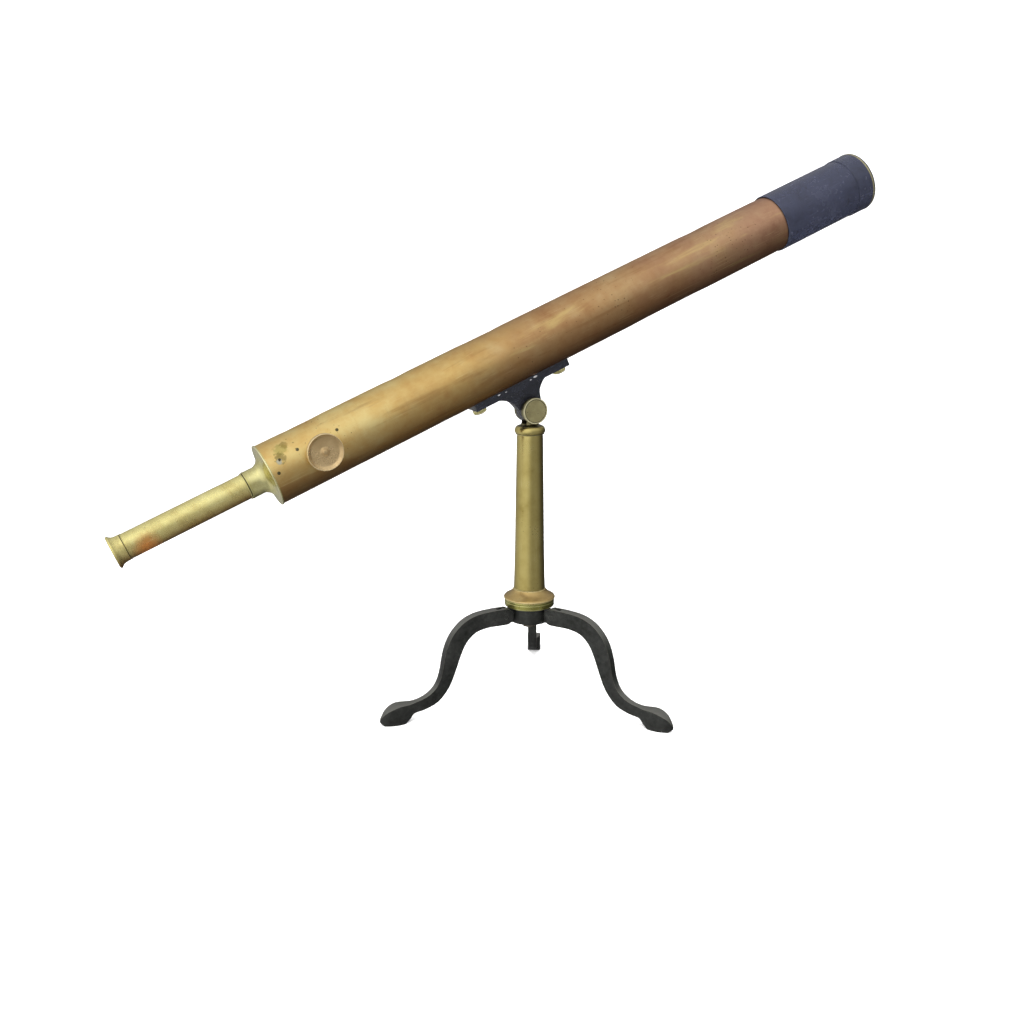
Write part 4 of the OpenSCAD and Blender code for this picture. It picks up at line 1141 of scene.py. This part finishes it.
# %% Turn the clamp knob and the bolt
k0, k1, r = span("clamp_knob", BOLT)
clamp = mill("clamp_knob_turning", [(4.06, k0), (r - 0.8, k0, 0.4), (r, k0 + 0.7, 0.3),
        (r, k1 - 0.6, 0.3), (r - 0.7, k1, 0.3), (r - 1.5, k1, 0.3), (r - 2.2, k1 - 0.7, 0.4)]
    + sweep([(r - 3.4, k1 - 1.0), (11, k1 - 1.25), (6, k1 - 1.35), (0, k1 - 1.4)], 3)
    + [(0, k1 - 1.9), (4.06, k1 - 1.9)], BOLT, 64, k0 + 0.5, k1 - 0.3, r, 0.3, clamp_brass)
settle(clamp, "pivot_clamp", "knob_brass", "clamp_knob")
bolt = casting("pivot_bolt_turning", "pivot_bolt", 0.3)
settle(paint(bolt, fork_bronze), "head", "fork_bronze", "pivot_bolt")

# %% [markdown]
# ## The thumbscrews
# Two knurled screws hold the bracket to the tube. Their heads are ribbed with the
# same tree as the knobs, in fewer and deeper ribs.

# %% Turn and knurl the thumbscrews
for body, cad in (("rear_screw", "thumbscrew_rear"), ("front_screw", "thumbscrew_front")):
    at = (ALONG.inverted() @ Vector(joint["turn_" + body]["pos_m"])).x
    place = ALONG @ Matrix.Translation((at, 0, 0)) @ Matrix.Rotation(math.pi / 2, 4, "Y")
    t0, t1, r = span(cad, place)
    thumb = mill(cad + "_turning", [(0, t0), (3, t0), (3, t1 - 8.65, 0.3), (6, t1 - 8.65),
            (6, t1 - 7.3, 0.3), (r - 0.8, t1 - 7.1, 0.4), (r, t1 - 6.1, 0.3), (r, t1 - 2.3, 0.3),
            (r - 0.8, t1 - 1.1, 0.4), (6.4, t1 - 0.2, 0.5), (5.6, t1, 0.3), (0, t1)], place, 44,
        t1 - 6.4, t1 - 2.0, r, 0.45, tail_brass)
    settle(thumb, body, "tail_brass", cad)

# %% [markdown]
# ## Pieces that keep their CAD shape
# The works inside the tube and under the pillar are right as they are. Each gets
# the finish of its own slot, and nothing is left in a flat colour.

# %% Finish the remaining nodes
finish_of = {"inner_brass": inner_brass, "pin_brass": leg_bronze, "pillar_brass": pillar_brass,
    "steel": steel, "fork_bronze": fork_bronze, "tail_brass": tail_brass, "draw_brass": draw_brass,
    "knob_brass": knob_brass, "matt_black": stop_black, "lens_glass": glass,
    "band_brass": band_brass, "flare_brass": flare_brass, "bronze_dark": leg_bronze,
    "japan_black": bracket_black, "tube_brass": tube_lacquer}
for part in frame["record"]["subparts"]:
    shown = node[part["node"]]
    if not shown.data.materials:
        shown.data.materials.append(finish_of[part["material_slot"]])
    for k in range(len(shown.material_slots)):
        shown.material_slots[k].material = finish_of[part["material_slot"]]

# %% [markdown]
# ## Floor and light
# The object stands on a plain pale floor that runs up into a pale wall all round,
# so no horizon shows. A big soft light hangs over it, one stands behind the
# viewer's left, and the right side falls off a little. Polished brass would show
# the white bowl as one flat glare, so reflections see the room's soft air instead:
# bright at the upper left and overhead, dim below, with one glow low at the back.

# %% Build the bowl
bowl_mesh = bpy.data.meshes.new("backdrop_bowl")
profile = [(0, 0), (1.2, 0), (2.4, 0), (3.0, 0.05), (3.6, 0.3), (4.0, 0.8), (4.2, 1.5), (4.3, 2.6)]
spots_round = 64
points, faces = [(0, 0, 0)], []
for r, z in profile[1:]:
    points += [(r * math.cos(2 * math.pi * k / spots_round),
            r * math.sin(2 * math.pi * k / spots_round), z) for k in range(spots_round)]
for k in range(spots_round):
    after = (k + 1) % spots_round
    faces.append((0, 1 + k, 1 + after))
    for ring_no in range(len(profile) - 2):
        a = 1 + ring_no * spots_round
        faces.append((a + k, a + spots_round + k, a + spots_round + after, a + after))
bowl_mesh.from_pydata(points, [], faces)
finish_mesh(bowl_mesh, 60)
bowl = add_object("backdrop_bowl", bowl_mesh)
pale, tree, shader, place = start("pale floor", False)
speck = noise(tree, place, 3.0, Detail=3.0)
tree.links.new(blend_colour(tree, speck, (0.90, 0.90, 0.90, 1), (0.94, 0.94, 0.94, 1)),
    shader.inputs["Base Color"])
shader.inputs["Roughness"].default_value = 0.9
shader.inputs["Specular IOR Level"].default_value = 0.1
shader.inputs["Emission Color"].default_value = (1, 1, 1, 1)
shader.inputs["Emission Strength"].default_value = 0.22
paint(bowl, pale)

# %% Hang the lights
def soft_light(name, place, aim, size, power, colour=(1, 1, 1)):
    lamp = bpy.data.lights.new(name, "AREA")
    lamp.shape = "DISK"
    lamp.size = size
    lamp.energy = power
    lamp.color = colour
    made = bpy.data.objects.new(name, lamp)
    bpy.context.scene.collection.objects.link(made)
    made.location = place
    made.rotation_mode = "QUATERNION"
    made.rotation_quaternion = (Vector(aim) - Vector(place)).to_track_quat("-Z", "Y")
    made.visible_glossy = False
    return made


soft_light("overhead", (-0.3, -0.3, 2.9), (0, 0, 0.3), 2.6, 105)
soft_light("window_side", (-2.2, -1.9, 1.9), (0, 0, 0.45), 1.6, 42, (1.0, 0.98, 0.95))
soft_light("right_fill", (2.2, -1.2, 1.6), (0.1, 0, 0.4), 1.2, 10, (0.95, 0.97, 1.0))
sky = bpy.data.worlds.new("studio air")
sky.use_nodes = True
air = sky.node_tree
view_way = add(air, "ShaderNodeTexCoord").outputs["Generated"]


def glow(towards, low, high, amount):
    """Soft brightness of the air around one direction."""
    facing = add(air, "ShaderNodeVectorMath", {0: view_way, 1: towards}, operation="DOT_PRODUCT")
    return ramp(air, facing.outputs["Value"], low, high, 0.0, amount)


total = 0.07  # brightness of the air everywhere
for towards, low, high, amount in (((-0.6, -0.8, 0.0), -0.7, 0.5, 0.34),
    ((-0.85, -0.45, 0.28), 0.50, 1.0, 0.70), ((0.0, 0.0, 1.0), 0.0, 0.85, 0.52),
    ((-0.6, 0.75, -0.35), 0.40, 1.0, 0.42)):
    total = plus(air, glow(towards, low, high, amount), total)
air.nodes["Background"].inputs["Color"].default_value = (1, 1, 1, 1)
air.links.new(total, air.nodes["Background"].inputs["Strength"])
bpy.context.scene.world = sky
bowl.visible_glossy = False
bpy.context.scene.view_settings.view_transform = "Standard"
print("lights:", len(bpy.data.lights))
